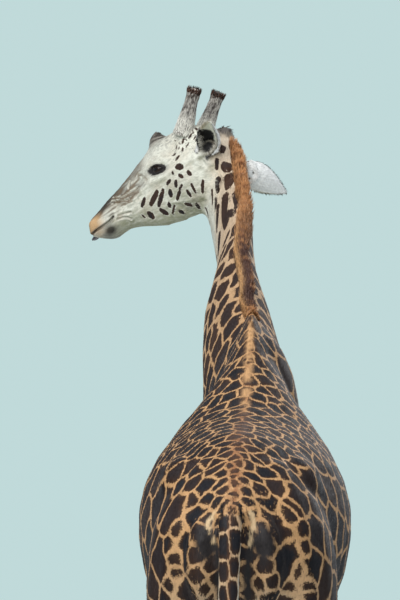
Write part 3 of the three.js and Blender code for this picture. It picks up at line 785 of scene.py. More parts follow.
UNSEEN = 1e-6
DARK_SKIN_AND_SHADE, GREY_SKIN = (0.022, 0.018, 0.018), (0.13, 0.115, 0.10)
LIP_TAN, NOSE_BROWN, ARC_TAN = (0.62, 0.40, 0.21), (0.058, 0.050, 0.041), (0.68, 0.49, 0.28)
BROWN_AND_FOLD_SHADE, NECK_FOLD_SHADE, CREST_TAN = (0.20, 0.14, 0.085), (0.24, 0.24, 0.20), (0.58, 0.33, 0.15)
BEARD_GREY, CHIN_BROWN, LUMP_GREY = (0.10, 0.085, 0.07), (0.055, 0.050, 0.040), (0.20, 0.175, 0.15)
LIP_BROWN = (0.060, 0.040, 0.026)
head = plan["head"] > 0.5


def noise_at(where, sizes):
    """An uneven value at each point, its bumps as long as the sizes say."""
    return np.array([noise.noise(Vector(p)) for p in where / np.array(sizes)])


def near_line(route, width):
    """How near each point of the head is to a line on it: 1 on the line."""
    found = np.zeros(len(points))
    found[head] = np.exp(-((from_route(h[head], route) / width) ** 2))
    return found


def eye_ring(local, side):
    """How far from the eye's middle each point is, 1 at the edge of its dark skin, and how far above it."""
    centre, _, forward, upward = eye_frame(side)
    along_eye, over_eye = (local - centre) @ forward - 0.003, (local - centre) @ upward
    return np.sqrt((along_eye / EYE_RING[0]) ** 2 + (over_eye / EYE_RING[1]) ** 2), over_eye


TAIL_CLEFT = [(0.072, -0.84, 2.31), (0.056, -0.83, 2.25), (0.050, -0.80, 2.13), (0.048, -0.77, 2.0)]
TAIL_ARC = [(0.068, -0.80, 2.405), (0.079, -0.812, 2.355), (0.064, -0.825, 2.305)]
EYE_RING = (0.050, 0.0215)  # half the length and height of the dark skin round an eye
facing = normals @ head_turn  # the skin's normals in the head's frame
_, forwards, upwards = h.T
streaky = np.zeros(len(points))
streaky[head] = noise_at(h[head], (0.012, 0.070, 0.009))
# the nose is dark above and brown at its sides
nose_top = eased(facing[:, 2] + 0.35 * streaky, -0.08, 0.42)
nose_top = nose_top * eased(forwards, 0.035, 0.11) * (1 - eased(forwards, 0.37, 0.42))
nose_dark = blend(0.68, 1.0, eased(forwards + 0.04 * streaky, 0.10, 0.30))
tinted(NOSE_BROWN, nose_dark * nose_top * head * (upwards > -0.04 - 0.1 * forwards))
nose_side = eased(forwards, 0.05, 0.12) * (1 - eased(forwards, 0.26, 0.34))
nose_side = nose_side * eased(upwards + 0.18 * forwards, -0.04, 0.02)
tinted(BROWN_AND_FOLD_SHADE, 0.75 * nose_side * eased(streaky, -0.05, 0.35) * head)
for side in (-1, 1):
    tinted(GREY_SKIN, 0.9 * around(h, (side * 0.030, 0.385, -0.012), (0.03, 0.035, 0.02)) * head)
lip = 1.1 * eased(forwards, 0.310, 0.380) * eased(upwards, -0.085, -0.065)
tinted(LIP_TAN, lip * (1 - eased(upwards, -0.040, -0.008)) * head)
tinted(BEARD_GREY, 0.85 * around(h, (0, 0.345, -0.112), (0.06, 0.05, 0.025)) * head)
flecks = np.zeros(len(points))
flecks[head] = noise_at(h[head], (0.006, 0.016, 0.009))
# the lump of the forehead is bare grey skin with dark streaks
lump = around(h, (0, 0.000, 0.130), (0.052, 0.058, 0.055))
tinted(LUMP_GREY, 1.25 * lump * head)
tinted(NOSE_BROWN, 1.5 * lump * eased(streaky + 0.3 * np.abs(facing[:, 1]), 0.0, 0.35) * head)
tinted(GREY_SKIN, 1.7 * around(h, (0, -0.30, 0.010), (0.040, 0.040, 0.034)))
for side in (-1, 1):
    tinted(LIP_BROWN, 1.1 * near_line(mirrored(MOUTH, side), 0.0075))
    tinted(DARK_SKIN_AND_SHADE, 1.6 * near_line(mirrored(MOUTH, side), 0.0035))
    tinted(CHIN_BROWN, 1.3 * around(h, (side * 0.038, 0.322, -0.106), (0.026, 0.030, 0.018)) * head)
    tinted(LIP_TAN, 0.55 * around(h, (side * 0.042, 0.375, -0.092), (0.03, 0.03, 0.012)) * head)
    tinted(DARK_SKIN_AND_SHADE, 1.3 * near_line(mirrored(NOSTRIL, side), 0.005))
    # the cheek folds are lined with brown, partly the hair's own colour and partly painted shade in their
    # creases
    for route in CHEEK_FOLDS:
        tinted(BROWN_AND_FOLD_SHADE, near_line(mirrored(route, side), 0.0036))
    # painted shade in the creases of the folds behind the jaw
    for route in neck_folds:
        tinted(NECK_FOLD_SHADE, 0.6 * near_line(mirrored(route, side), 0.008))
    # dark bare skin round the eye, longest towards the nose
    centre, _, forward, upward = eye_frame(side)
    ring, over_eye = eye_ring(h, side)
    ring = ring + 0.06 * streaky
    close = head * (h[:, 0] * side > 0) * (np.linalg.norm(h - centre, axis=1) < 0.085)
    tinted(GREY_SKIN, 0.35 * (1 - eased(ring, 1.1, 1.6)) * (over_eye < 0.01) * close)
    tinted(DARK_SKIN_AND_SHADE, 1.3 * (1 - eased(ring, 0.92, 1.04)) * close)
    tear_line = [centre + 0.036 * forward + 0.002 * upward, centre + 0.056 * forward + 0.010 * upward]
    tinted(DARK_SKIN_AND_SHADE, 1.1 * near_line(tear_line, 0.008) * close)
    # the pits beside the tail are bare dark skin, darkened further as painted shade in the pits and the
    # cleft, under arcs of pale hair
    body = plan["b"]
    pit_skin_and_shade = 1.9 * around(body, (side * 0.104 + 0.006, -0.836, 2.300), (0.030, 0.09, 0.050))
    cleft_skin_and_shade = np.exp(-((from_route(body, mirrored(TAIL_CLEFT, side)) / 0.013) ** 2))
    tinted(DARK_SKIN_AND_SHADE, 1.5 * np.maximum(pit_skin_and_shade, cleft_skin_and_shade) * (y < -0.70) * (1 - plan["on_tail"]))
    arc = from_route(body + [0.007, 0, 0], mirrored(TAIL_ARC, side))
    near = arc < 0.03
    rough = np.array([noise.noise(Vector(p) / 0.018) for p in body[near]])
    lightly = np.zeros(len(points))
    lightly[near] = eased(0.011 + 0.012 * rough - arc[near], -0.0035, 0.0035)
    tinted(ARC_TAN, 0.92 * lightly * (y < -0.75) * (1 - plan["on_tail"]))


EAR_SHARES = (0, 0.12, 0.27, 0.42, 0.6, 0.79, 0.93, 1)
EAR_HOLLOW = (-0.021, -0.029, -0.026, -0.015, -0.003, 0.009, 0.011, 0.006)  # the cup's middle, off its root
EAR_SPREAD = (2.5, 2.2, 1.7, 1.4, 1.15, 0.9, 0.7, 0.6)  # half the turn its strip takes, in radians
EAR_HOLLOW_SHADE, PALE_EAR = (0.012, 0.011, 0.011), (0.80, 0.80, 0.62)
EAR_WHITE, EAR_EDGE = (0.98, 0.98, 0.95), (0.46, 0.38, 0.20)


def in_ear(points, normals, word):
    """How far along the ear each point is, the turn from the middle of its back, and if it faces in."""
    root, along, opening = EARS[word]
    axis = np.array(along) / np.linalg.norm(along)
    across = np.cross(axis, np.array(opening))
    across /= np.linalg.norm(across)
    outwards = np.cross(across, axis)
    away = points - from_head(root)
    share = away @ axis / EAR_LENGTH
    off = away - np.outer(away @ axis, axis) - np.outer(np.interp(share, EAR_SHARES, EAR_HOLLOW), outwards)
    turn = np.arctan2(off @ across, -off @ outwards)
    reach = np.linalg.norm(off, axis=1)
    inward = -(off * normals).sum(axis=1) / np.maximum(reach, 1e-6)
    return {"share": share, "turn": turn / np.interp(share, EAR_SHARES, EAR_SPREAD), "inward": inward,
            "reach": reach, "axis": axis, "across": across, "off": off, "outwards": outwards}


for word in EARS:
    ear = in_ear(points, normals, word)
    share, inner = ear["share"], eased(ear["inward"], 0.0, 0.3)
    tinted(EAR_WHITE, on_ear[word] * 1.0)
    tinted(PALE_EAR, on_ear[word] * inner * (1 - eased(np.abs(ear["turn"]), 0.80, 0.95)) * 0.8)
    tinted(EAR_EDGE, on_ear[word] * eased(-ear["turn"], 0.70, 0.90) * eased(share, 0.40, 0.55) * 0.75)
    # painted shade: the deep hollow of each cup, on its inner wall towards the front, is darkened to black
    front = eased(-ear["turn"], 0.45, 0.65)
    wall = eased(ear["inward"], blend(0.0, -0.97, front), blend(0.3, -0.7, front))
    deep = wall * eased(ear["turn"] + 1.1 * (share - 0.30).clip(0), -1.05, -0.92)
    deep *= (1 - eased(ear["turn"] + 0.5 * share, 0.05, 0.22)) * (1 - eased(share, 0.42, 0.52))
    tinted(EAR_HOLLOW_SHADE, on_ear[word] * deep * 1.5)
# painted shade on the head's skin seen through the left ear's opening, at its root
tinted(EAR_HOLLOW_SHADE, 1.7 * around(h, (-0.088, -0.246, -0.050), (0.05, 0.026, 0.026)) * ~on_ears)
# a tan line of hair runs down the withers from the mane
body = plan["b"]
crest = np.exp(-((body[:, 0] / 0.013) ** 2)) * eased(body[:, 1], -0.10, 0.15)
crest = crest * (1 - eased(body[:, 1], 0.62, 0.72))
crest_streaks = eased(noise_at(body, (0.006, 0.05, 0.05)), -0.35, 0.15)
tinted(CREST_TAN, 1.5 * crest * crest_streaks * eased(normals[:, 2], 0.1, 0.4))

# Where the drawn patches are left out: some on the shins, all on the ears and on the head, whose spots
# are placed one by one.
bare = 0.10 * plan["leg"] * (1 - eased(z, 0.3, 1.2)) + 0.5 * plan["leg"] * (1 - eased(z, 0.12, 0.35))
spotless = np.clip(0.30 + 0.5 * eased(upwards + 0.30 * forwards, -0.10, -0.02), 0, 1)
strewn = around(h, (0, -0.165, 0.030), (9, 0.065, 0.060))  # fewer are left out between horn and cheek
spotless = spotless - 0.75 * np.clip(1.3 * strewn, 0, 1)
spotless = np.maximum(spotless, eased(forwards - 0.5 * (upwards + 0.13), 0.06, 0.14))
spotless = np.maximum(spotless, eased(forwards, -0.10, -0.03) * eased(upwards, -0.10, -0.06))
bare = blend(bare, np.clip(spotless, 0, 1.01), plan["head"])
bare = np.where(on_ears, 1.01, bare)
bare = blend(bare, 1.01, eased(plan["head"], 0.5, 0.9))
HEAD_SPOTS = [  # millimetres in the head's frame: one end, the other, half the width
    (-86, -262, -62, -84, -268, -78, 7.0), (-93, -262, -100, -92, -262, -128, 7.0),
    (-90, -262, -152, -88, -264, -185, 8.0), (-61, -174, 62, -66, -178, 50, 3.0),
    (-71, -149, 60, -74, -155, 52, 2.0), (-81, -170, 20, -82, -163, 28, 2.6),
    (-84, -136, 21, -84, -132, 30, 2.2), (-77, -120, 44, -77, -114, 50, 1.6),
    (-75, -165, 42, -76, -160, 50, 2.5), (-80, -207, -3, -77, -212, 8, 3.5),
    (-41, -184, 74, -55, -194, 54, 3.5), (-57, -195, 52, -66, -199, 35, 3.1),
    (-46, -203, 57, -51, -211, 46, 4.6), (-63, -167, 64, -70, -168, 51, 2.3),
    (-77, -180, 24, -70, -191, 34, 4.6), (-78, -200, 9, -72, -207, 17, 3.1),
    (-84, -149, 19, -80, -156, 30, 4.2), (-89, -160, -6, -85, -174, 3, 2.3),
    (-87, -113, 9, -83, -119, 21, 2.7), (-89, -126, 2, -87, -130, 11, 2.3),
    (-92, -141, -13, -90, -145, -2, 3.9), (-93, -94, -8, -93, -107, -7, 3.1),
    (-97, -103, -31, -96, -120, -25, 4.2), (-104, -99, -62, -101, -117, -70, 10.0),
    (-100, -69, -76, -102, -71, -69, 3.9), (-97, -93, -93, -95, -101, -106, 5.8),
    (-95, -132, -101, -92, -137, -114, 6.5), (-89, -21, -93, -93, -43, -88, 5.4),
    (-87, -54, -121, -94, -66, -105, 6.2), (-84, -62, -136, -88, -82, -130, 4.2),
    (-73, -8, -135, -80, -18, -121, 8.5), (-66, -25, -159, -79, -56, -144, 5.8),
    (-61, 66, -138, -81, 11, -103, 7.3), (-65, 94, -117, -79, 40, -94, 8.5),
    (-62, 137, -102, -69, 110, -86, 6.9), (-84, -120, -148, -71, -116, -180, 5.0),
    (-78, -89, -159, -67, -87, -179, 5.8), (-79, -171, -159, -68, -145, -192, 5.8),
    (-52, -46, -190, -46, -62, -203, 6.9), (-44, -86, -211, -31, -82, -225, 6.5),
    (-63, 18, -155, -55, 25, -163, 6.9), (-39, 34, -188, -55, 3, -171, 3.9),
    (-38, -1, -196, -32, -6, -204, 7.7), (-53, 68, -156, -43, 56, -176, 8.5),
    (-49, 125, -140, -42, 122, -156, 10.8), (-48, 160, -128, -41, 155, -141, 3.9),
    (-33, -111, -240, -30, -107, -278, 5.0), (-74, -191, -209, -81, -175, -263, 5.4),
    (-73, -258, -118, -65, -238, -142, 5.4), (-46, -216, 84, -52, -224, 74, 5.0),
]
NO_SPOT = -0.02
blot = np.full(len(points), NO_SPOT)


def add_spot(where, picked, ends, half, thick, swell):
    """Lays a long spot between two points: blot is its depth there, above 0 inside it."""
    run = ends[1] - ends[0]
    share = np.clip((where[picked] - ends[0]) @ run / (run @ run), 0, 1)
    away = np.linalg.norm(where[picked] - ends[0] - share[:, None] * run, axis=1)
    blot[picked] = np.maximum(blot[picked], half * (thick + swell * share * (1 - share)) / 1000 - away)


for x0, y0, z0, x1, y1, z1, half in HEAD_SPOTS:
    for side in (-1, 1):
        ends = np.array([(-side * x0, y0, z0), (-side * x1, y1, z1)]) / 1000
        add_spot(h, head, ends, half, 1.05, 1.3)
blot = np.where(on_ears, NO_SPOT, blot)
unspotted = (1 - eased(blot, -0.0035, -0.0005)) * ~on_ears * head
brow = around(h, (0, -0.06, 0.10), (9, 0.10, 0.065))
BROW_GREY, FLECK_GREY, JAW_SHADE_OLIVE = (0.30, 0.29, 0.25), (0.40, 0.39, 0.32), (0.27, 0.27, 0.155)
brow_flecks = 0.85 * np.clip(1.3 * brow, 0, 1) * eased(flecks, -0.05, 0.30)
tinted(BROW_GREY, brow_flecks * unspotted * (1 - tint[:, 3]))
tinted(FLECK_GREY, 0.45 * eased(-flecks, 0.0, 0.35) * unspotted * (1 - tint[:, 3]))
# painted shade: an olive darkening over the underside of the jaw, where it faces down
jaw_shade = 0.8 * eased(-facing[:, 2] + 0.3 * streaky, 0.05, 0.75) * eased(0.36 - forwards, 0.0, 0.05) * head
tinted(JAW_SHADE_OLIVE, jaw_shade * unspotted * (1 - tint[:, 3]))
write_values(skin_mesh, "tint", tint, "FLOAT_COLOR")
# The patches on the side of the neck that is turned back are placed too: millimetres in the body's
# frame, one end, the other, half the width.
NECK_PATCHES = [
    (-172, 1797, 3820, -172, 1791, 3808, 12), (-192, 1787, 3772, -193, 1799, 3742, 9),
    (-165, 1771, 3749, -141, 1752, 3740, 20), (-143, 1722, 3701, -142, 1703, 3677, 27),
    (-188, 1787, 3696, -187, 1760, 3656, 16), (-208, 1788, 3638, -207, 1779, 3607, 12),
    (-156, 1684, 3627, -158, 1632, 3552, 24), (-145, 1607, 3559, -115, 1545, 3561, 18),
    (-153, 1621, 3552, -147, 1578, 3520, 26), (-119, 1636, 3637, -104, 1559, 3588, 13),
    (-185, 1719, 3590, -187, 1694, 3508, 14), (-175, 1631, 3476, -177, 1610, 3407, 22),
]
own = (plan["on_neck"] > 0.3) & (body[:, 1] > 1.40) & (normals[:, 1] < 0.25)
for x0, y0, z0, x1, y1, z1, half in NECK_PATCHES:
    add_spot(body, own, np.array([(x0, y0, z0), (x1, y1, z1)]) / 1000, half, 0.95, 0.5)
turned_back = plan["on_neck"] * eased(0.06 - normals[:, 1], 0.0, 0.10) * eased(body[:, 1], 1.46, 1.53)
bare = np.maximum(bare, 1.01 * turned_back)
at_ear = (np.abs(ear["share"]) < 0.6) & (ear["reach"] < 0.05)  # round the right ear's root
blot = np.where(at_ear, NO_SPOT, blot)
line_values = np.stack([gap, bare, blot], axis=1)
write_values(skin_mesh, "line", line_values)


class Surface:
    """A material in the making: each call adds one node and hands back its output."""

    def __init__(self, name, **values):
        self.material = bpy.data.materials.new(name)
        self.material.use_nodes = True
        self.tree = self.material.node_tree
        self.shader = self.tree.nodes["Principled BSDF"]
        self.set(**values)

    def set(self, **values):
        for key, value in values.items():
            self.join(self.shader.inputs[key.replace("_", " ")], value)

    def join(self, socket, value):
        if isinstance(value, bpy.types.NodeSocket):
            self.tree.links.new(value, socket)
        else:
            socket.default_value = value

    def add(self, kind, inputs, output=0, **settings):
        node = self.tree.nodes.new(kind)
        for key, value in settings.items():
            setattr(node, key, value)
        for key, value in inputs.items():
            self.join(node.inputs[key], value)
        return node.outputs[output]

    def math(self, operation, *values, clamped=False):
        return self.add("ShaderNodeMath", dict(enumerate(values)), operation=operation, use_clamp=clamped)

    def blend(self, share, low, high):
        return self.add("ShaderNodeMix", {0: share, 6: colour(low), 7: colour(high)}, 2, data_type="RGBA")

    def choose(self, share, low, high):
        return self.add("ShaderNodeMix", {0: share, 2: low, 3: high}, 0, data_type="FLOAT")

    def noise(self, where, size, detail=2.0):
        return self.add("ShaderNodeTexNoise", {"Vector": where, "Scale": 1 / size, "Detail": detail}, 0)

    def step(self, value, low, high):
        ends = {0: value, 1: low, 2: high}
        return self.add("ShaderNodeMapRange", ends, interpolation_type="SMOOTHSTEP")

    def attribute(self, name, output="Vector"):
        return self.add("ShaderNodeAttribute", {}, output, attribute_name=name)

    def parts(self, vector):
        node = self.tree.nodes.new("ShaderNodeSeparateXYZ")
        self.join(node.inputs[0], vector)
        return node.outputs

    def bump(self, height, strength, distance):
        inputs = {"Height": height, "Strength": strength, "Distance": distance}
        self.set(Normal=self.add("ShaderNodeBump", inputs))


def colour(value):
    return (*value, 1.0) if isinstance(value, tuple) and len(value) == 3 else value


GROUND_TAN, GROUND_CREAM = (0.57, 0.315, 0.132), (0.78, 0.775, 0.67)
PATCH_CORE, PATCH_RIM, PATCH_WARM = (0.0115, 0.0115, 0.0150), (0.036, 0.018, 0.011), (0.085, 0.038, 0.019)
RIDGE_RUST, GROUND_BROWN = (0.30, 0.125, 0.052), (0.38, 0.22, 0.10)


def marked(surface, where):
    """The coat's colour, from the values that skin and hair carry."""
    first, second, third = surface.parts(surface.attribute("bounds"))
    luck = surface.parts(surface.attribute("chance"))
    line, missing, spot = surface.parts(surface.attribute("line"))
    lain = surface.attribute("combed")
    pale, warm, ridge = surface.parts(surface.attribute("zone"))
    rounding = surface.math("MULTIPLY", line, 1.6)
    inside = [
        surface.math("SMOOTH_MIN", first, second, rounding),
        surface.math("SMOOTH_MIN", surface.math("MULTIPLY", first, -1.0), third, rounding),
        surface.math(
            "SMOOTH_MIN",
            surface.math("MULTIPLY", second, -1.0),
            surface.math("MULTIPLY", third, -1.0),
            rounding,
        ),
    ]
    other = surface.math("MAXIMUM", inside[1], inside[2])
    edge = surface.math("MAXIMUM", inside[0], other)
    rest = surface.choose(surface.math("GREATER_THAN", inside[1], inside[2]), luck[2], luck[1])
    own = surface.choose(surface.math("GREATER_THAN", inside[0], other), rest, luck[0])
    ragged = surface.math("MULTIPLY_ADD", surface.noise(where, 0.020), 0.009, -0.0045)
    frayed = surface.math("MULTIPLY_ADD", surface.noise(lain, 0.0046, 4.0), 0.0150, -0.0075)
    edge = surface.math("ADD", edge, surface.math("ADD", ragged, frayed))
    deep = surface.math("SUBTRACT", edge, line)
    patch = surface.step(deep, -0.0020, 0.0020)
    patch = surface.math("MULTIPLY", patch, surface.math("GREATER_THAN", own, missing))
    blot = surface.math("MULTIPLY_ADD", frayed, 0.38, surface.math("MULTIPLY_ADD", ragged, 0.60, spot))
    patch = surface.math("MAXIMUM", patch, surface.step(blot, -0.0010, 0.0010))
    deep = surface.math("MAXIMUM", deep, surface.math("MULTIPLY", blot, 2.0))
    mottle = surface.noise(where, 0.06, 3.0)
    ground = surface.blend(pale, GROUND_TAN, GROUND_CREAM)
    mottled = surface.step(mottle, 0.35, 0.75)
    ground = surface.blend(mottled, ground, surface.blend(0.30, ground, GROUND_BROWN))
    core = surface.blend(surface.step(deep, 0.002, 0.016), PATCH_RIM, PATCH_CORE)
    warmth = surface.math("MULTIPLY_ADD", own, 0.4, surface.math("SUBTRACT", warm, 0.22), clamped=True)
    core = surface.blend(warmth, core, PATCH_WARM)
    tone = surface.blend(patch, ground, core)
    rusty = surface.step(surface.noise(where, 0.022, 3.0), 0.25, 0.60)
    rust = surface.math("MULTIPLY", rusty, surface.choose(patch, 0.95, 0.22))
    tone = surface.blend(surface.math("MULTIPLY", ridge, rust), tone, RIDGE_RUST)
    overlay = surface.tree.nodes.new("ShaderNodeAttribute")
    overlay.attribute_name = "tint"
    tone = surface.blend(overlay.outputs["Alpha"], tone, overlay.outputs["Color"])
    streaks = surface.math("MULTIPLY_ADD", surface.noise(lain, 0.0030, 2.0), 0.50, 0.75)
    return surface.add("ShaderNodeVectorMath", {0: tone, "Scale": streaks}, operation="SCALE")


hide = Surface("giraffe hide", Roughness=0.55, Specular_IOR_Level=0.22)
hide.set(Base_Color=marked(hide, hide.attribute("place")))
hide.bump(hide.noise(hide.attribute("combed"), 0.0026, 3.0), 0.45, 0.0014)
skin_mesh.materials.append(hide.material)


# ==== Coat ====
# Short smooth hair over the whole hide: fine pointed locks of solid mesh that lie along the body
# and overlap like tiles, longest on the throat, belly and withers and finest on face and feet.
TRUNK_LINE = [(0, -0.78, 2.25), (0, 0.0, 2.30), (0, 0.45, 2.50), (0.005, 0.62, 2.62)]
REGIONS = ["head", "ear_left", "ear_right", "neck", "rump", "flank_left", "flank_right", "tail", *LEG_LINES]
region = np.full(len(points), REGIONS.index("neck"))
x, y, z = plan["b"].T
trunk_part = (plan["on_neck"] < 0.5) & (plan["head"] < 0.5)
region[trunk_part & (x < 0)] = REGIONS.index("flank_left")
region[trunk_part & (x >= 0)] = REGIONS.index("flank_right")
region[trunk_part & (y < -0.42)] = REGIONS.index("rump")
LEG_SIDES = {"fore_left": (-1, 1), "fore_right": (1, 1), "hind_left": (-1, -1), "hind_right": (1, -1)}
for word, (side, fore) in LEG_SIDES.items():
    region[(z < 1.78) & (x * side > 0) & ((y - 0.1) * fore > 0)] = REGIONS.index(word)
region[plan["head"] >= 0.5] = REGIONS.index("head")
region[plan["on_tail"]] = REGIONS.index("tail")
for word in EARS:
    region[on_ear[word]] = REGIONS.index(f"ear_{word}")

routes = {"head": (SKULL_LINE, (0, 0, 1)), "neck": (NECK_LINE, (0, 0, 1))}
routes |= {word: (TRUNK_LINE, (0, 0, 1)) for word in ("rump", "flank_left", "flank_right")}
routes |= {word: (line, (0, -1, 0)) for word, line in {"tail": TAIL_LINE, **LEG_LINES}.items()}
hair_lie, combed = np.zeros_like(points), np.zeros_like(points)
hair_length = np.full(len(points), 0.020)
unwrapped = np.zeros((len(points), 2))
for number, word in enumerate(REGIONS):
    own = region == number
    b, h, n = plan["b"][own], plan["h"][own], normals[own]
    if word.startswith("ear"):
        ear = in_ear(points[own], n, word[4:])
        rim = np.sign(ear["turn"]) * (0.35 + 0.8 * eased(np.abs(ear["turn"]), 0.6, 1.0))
        hair_lie[own] = ear["axis"] + np.outer(rim, ear["across"])
        far = ear["share"] * EAR_LENGTH
        leaf = np.where(ear["inward"] > 0, 0.25, 0.75)  # the inside and the back lie apart on the map
        leaf = leaf + 0.23 * ear["turn"].clip(-1, 1)
        unwrapped[own] = np.stack([leaf, ear["share"]], axis=1)
        combed[own] = np.stack([ear["off"] @ ear["across"], ear["off"] @ ear["outwards"], far / 6], axis=1)
        hair_length[own] = 0.011
        continue
    route = along_route(h if word == "head" else b, *routes[word])
    unwrapped[own] = np.stack([route["turn"] / (2 * pi) + 0.5, route["far"] / route["total"]], axis=1)
    combed[own] = np.stack([np.sin(route["turn"]) * route["reach"], np.cos(route["turn"]) * route["reach"],
                            route["far"] / 6], axis=1)
    if word == "head":
        down = -0.15 - 0.35 * eased(-h[:, 2], 0.0, 0.12) + 0.5 * eased(h[:, 2], 0.02, 0.10)
        hair_lie[own] = np.stack([np.zeros(len(h)), -np.ones(len(h)), down], axis=1) @ head_turn.T
        on_face = blend(0.0115, 0.0048, eased(h[:, 1], 0.0, 0.22))
        hair_length[own] = blend(on_face, 0.018, eased(-h[:, 1], 0.20, 0.30))
    elif word == "neck":
        hair_lie[own] = -route["along"] + np.array([0, 0, -0.12])
        hair_length[own] = 0.019 + 0.008 * eased(np.abs(route["turn"]), 1.9, 2.8)
    elif word == "tail":
        hair_lie[own] = route["along"]
        hair_length[own] = 0.018
    elif word in LEG_LINES:
        hair_lie[own] = np.array([0, -0.18, -1.0])
        hair_length[own] = blend(0.009, 0.018, eased(b[:, 2], 0.2, 1.5))
    else:
        down = 0.30 + 2.2 * eased(-n[:, 1], 0.25, 0.8) + 1.5 * eased(n[:, 1], 0.3, 0.8)
        aside = 0.25 * np.sign(b[:, 0]) * eased(np.abs(b[:, 0]), 0.0, 0.05)
        hair_lie[own] = np.stack([aside, -np.ones(len(b)), -down], axis=1)
        hair_length[own] = 0.019 + 0.006 * eased(-n[:, 2], 0.2, 0.8)
hair_lie = tangent(hair_lie, normals)
write_values(skin_mesh, "combed", combed)

# Where the coat breaks the form, locks are longer and stand off more.
loose = np.full(len(points), 0.0)
b, h = plan["b"], plan["h"]
LOOSE_PLACES = [  # in the body's frame: middle, reach, extra length
    ((0.0, 0.52, 2.66), (0.035, 0.16, 0.16), 0.016), ((0.062, -0.86, 2.37), (0.02, 0.045, 0.04), 0.030),
    ((-0.062, -0.86, 2.37), (0.02, 0.045, 0.04), 0.030), ((0.235, 0.42, 1.97), (0.05, 0.06, 0.07), 0.012),
    ((-0.235, 0.42, 1.97), (0.05, 0.06, 0.07), 0.012), ((0.0, -0.15, 1.82), (0.06, 0.12, 0.06), 0.022),
]
for middle, reach, extra in LOOSE_PLACES:
    loose += extra * around(b, middle, reach)
LOOSE_ON_HEAD = [
    ((0, -0.29, 0.02), (0.05, 0.05, 0.04), 0.010), ((0, 0.35, -0.125), (0.03, 0.04, 0.02), 0.004),
    ((0.055, -0.06, -0.20), (0.05, 0.12, 0.03), 0.006), ((-0.055, -0.06, -0.20), (0.05, 0.12, 0.03), 0.006),
]
for middle, reach, extra in LOOSE_ON_HEAD:
    loose += extra * around(h, middle, reach)
hair_length = hair_length + loose

# No hair inside the lids, nostrils and mouth, nor under the hooves' rims.
hairy = np.ones(len(points))
for side in (-1, 1):
    centre = eye_frame(side)[0]
    ring, _ = eye_ring(h, side)
    close = (np.linalg.norm(h - centre, axis=1) < 0.06) & (h[:, 0] * side > 0)
    hairy *= np.where(close, eased(ring, 0.80, 0.92), 1)
    hairy *= np.where(head, eased(from_route(h, mirrored(MOUTH, side)), 0.002, 0.005), 1)
    hairy *= np.where(head, eased(from_route(h, mirrored(NOSTRIL, side)), 0.003, 0.007), 1)
hairy *= eased(z, 0.128, 0.140)

skin_mesh.calc_loop_triangles()
triangle_corners = read(skin_mesh.loop_triangles, "loops", 3, np.int32)
triangle_points = corners[triangle_corners]
LOCK = np.array([  # along, across and off the skin, as shares of length, width and lift
    (0.0, -0.5, -0.25), (0.0, 0.5, -0.25), (0.30, 0.0, 0.9), (1.0, 0.0, 0.55),
])
LOCK_FACES = np.array([(0, 1, 3), (0, 3, 2), (1, 2, 3), (0, 2, 1)])
PATCH_ON_MAP = 0.003
LOCK_ON_MAP = np.array([(0.0, 0.0), (1.0, 0.0), (0.5, 0.35), (0.5, 1.0)]) * PATCH_ON_MAP


def mesh_from(name, places, faces):
    """A smooth-shaded mesh of triangles."""
    mesh = bpy.data.meshes.new(name)
    mesh.vertices.add(len(places))
    mesh.vertices.foreach_set("co", np.asarray(places, np.float32).ravel())
    mesh.loops.add(faces.size)
    mesh.loops.foreach_set("vertex_index", faces.astype(np.int32).ravel())
    mesh.polygons.add(len(faces))
    mesh.polygons.foreach_set("loop_start", np.arange(0, faces.size, 3, dtype=np.int32))
    mesh.update(calc_edges=True)
    smooth(mesh)
    return mesh


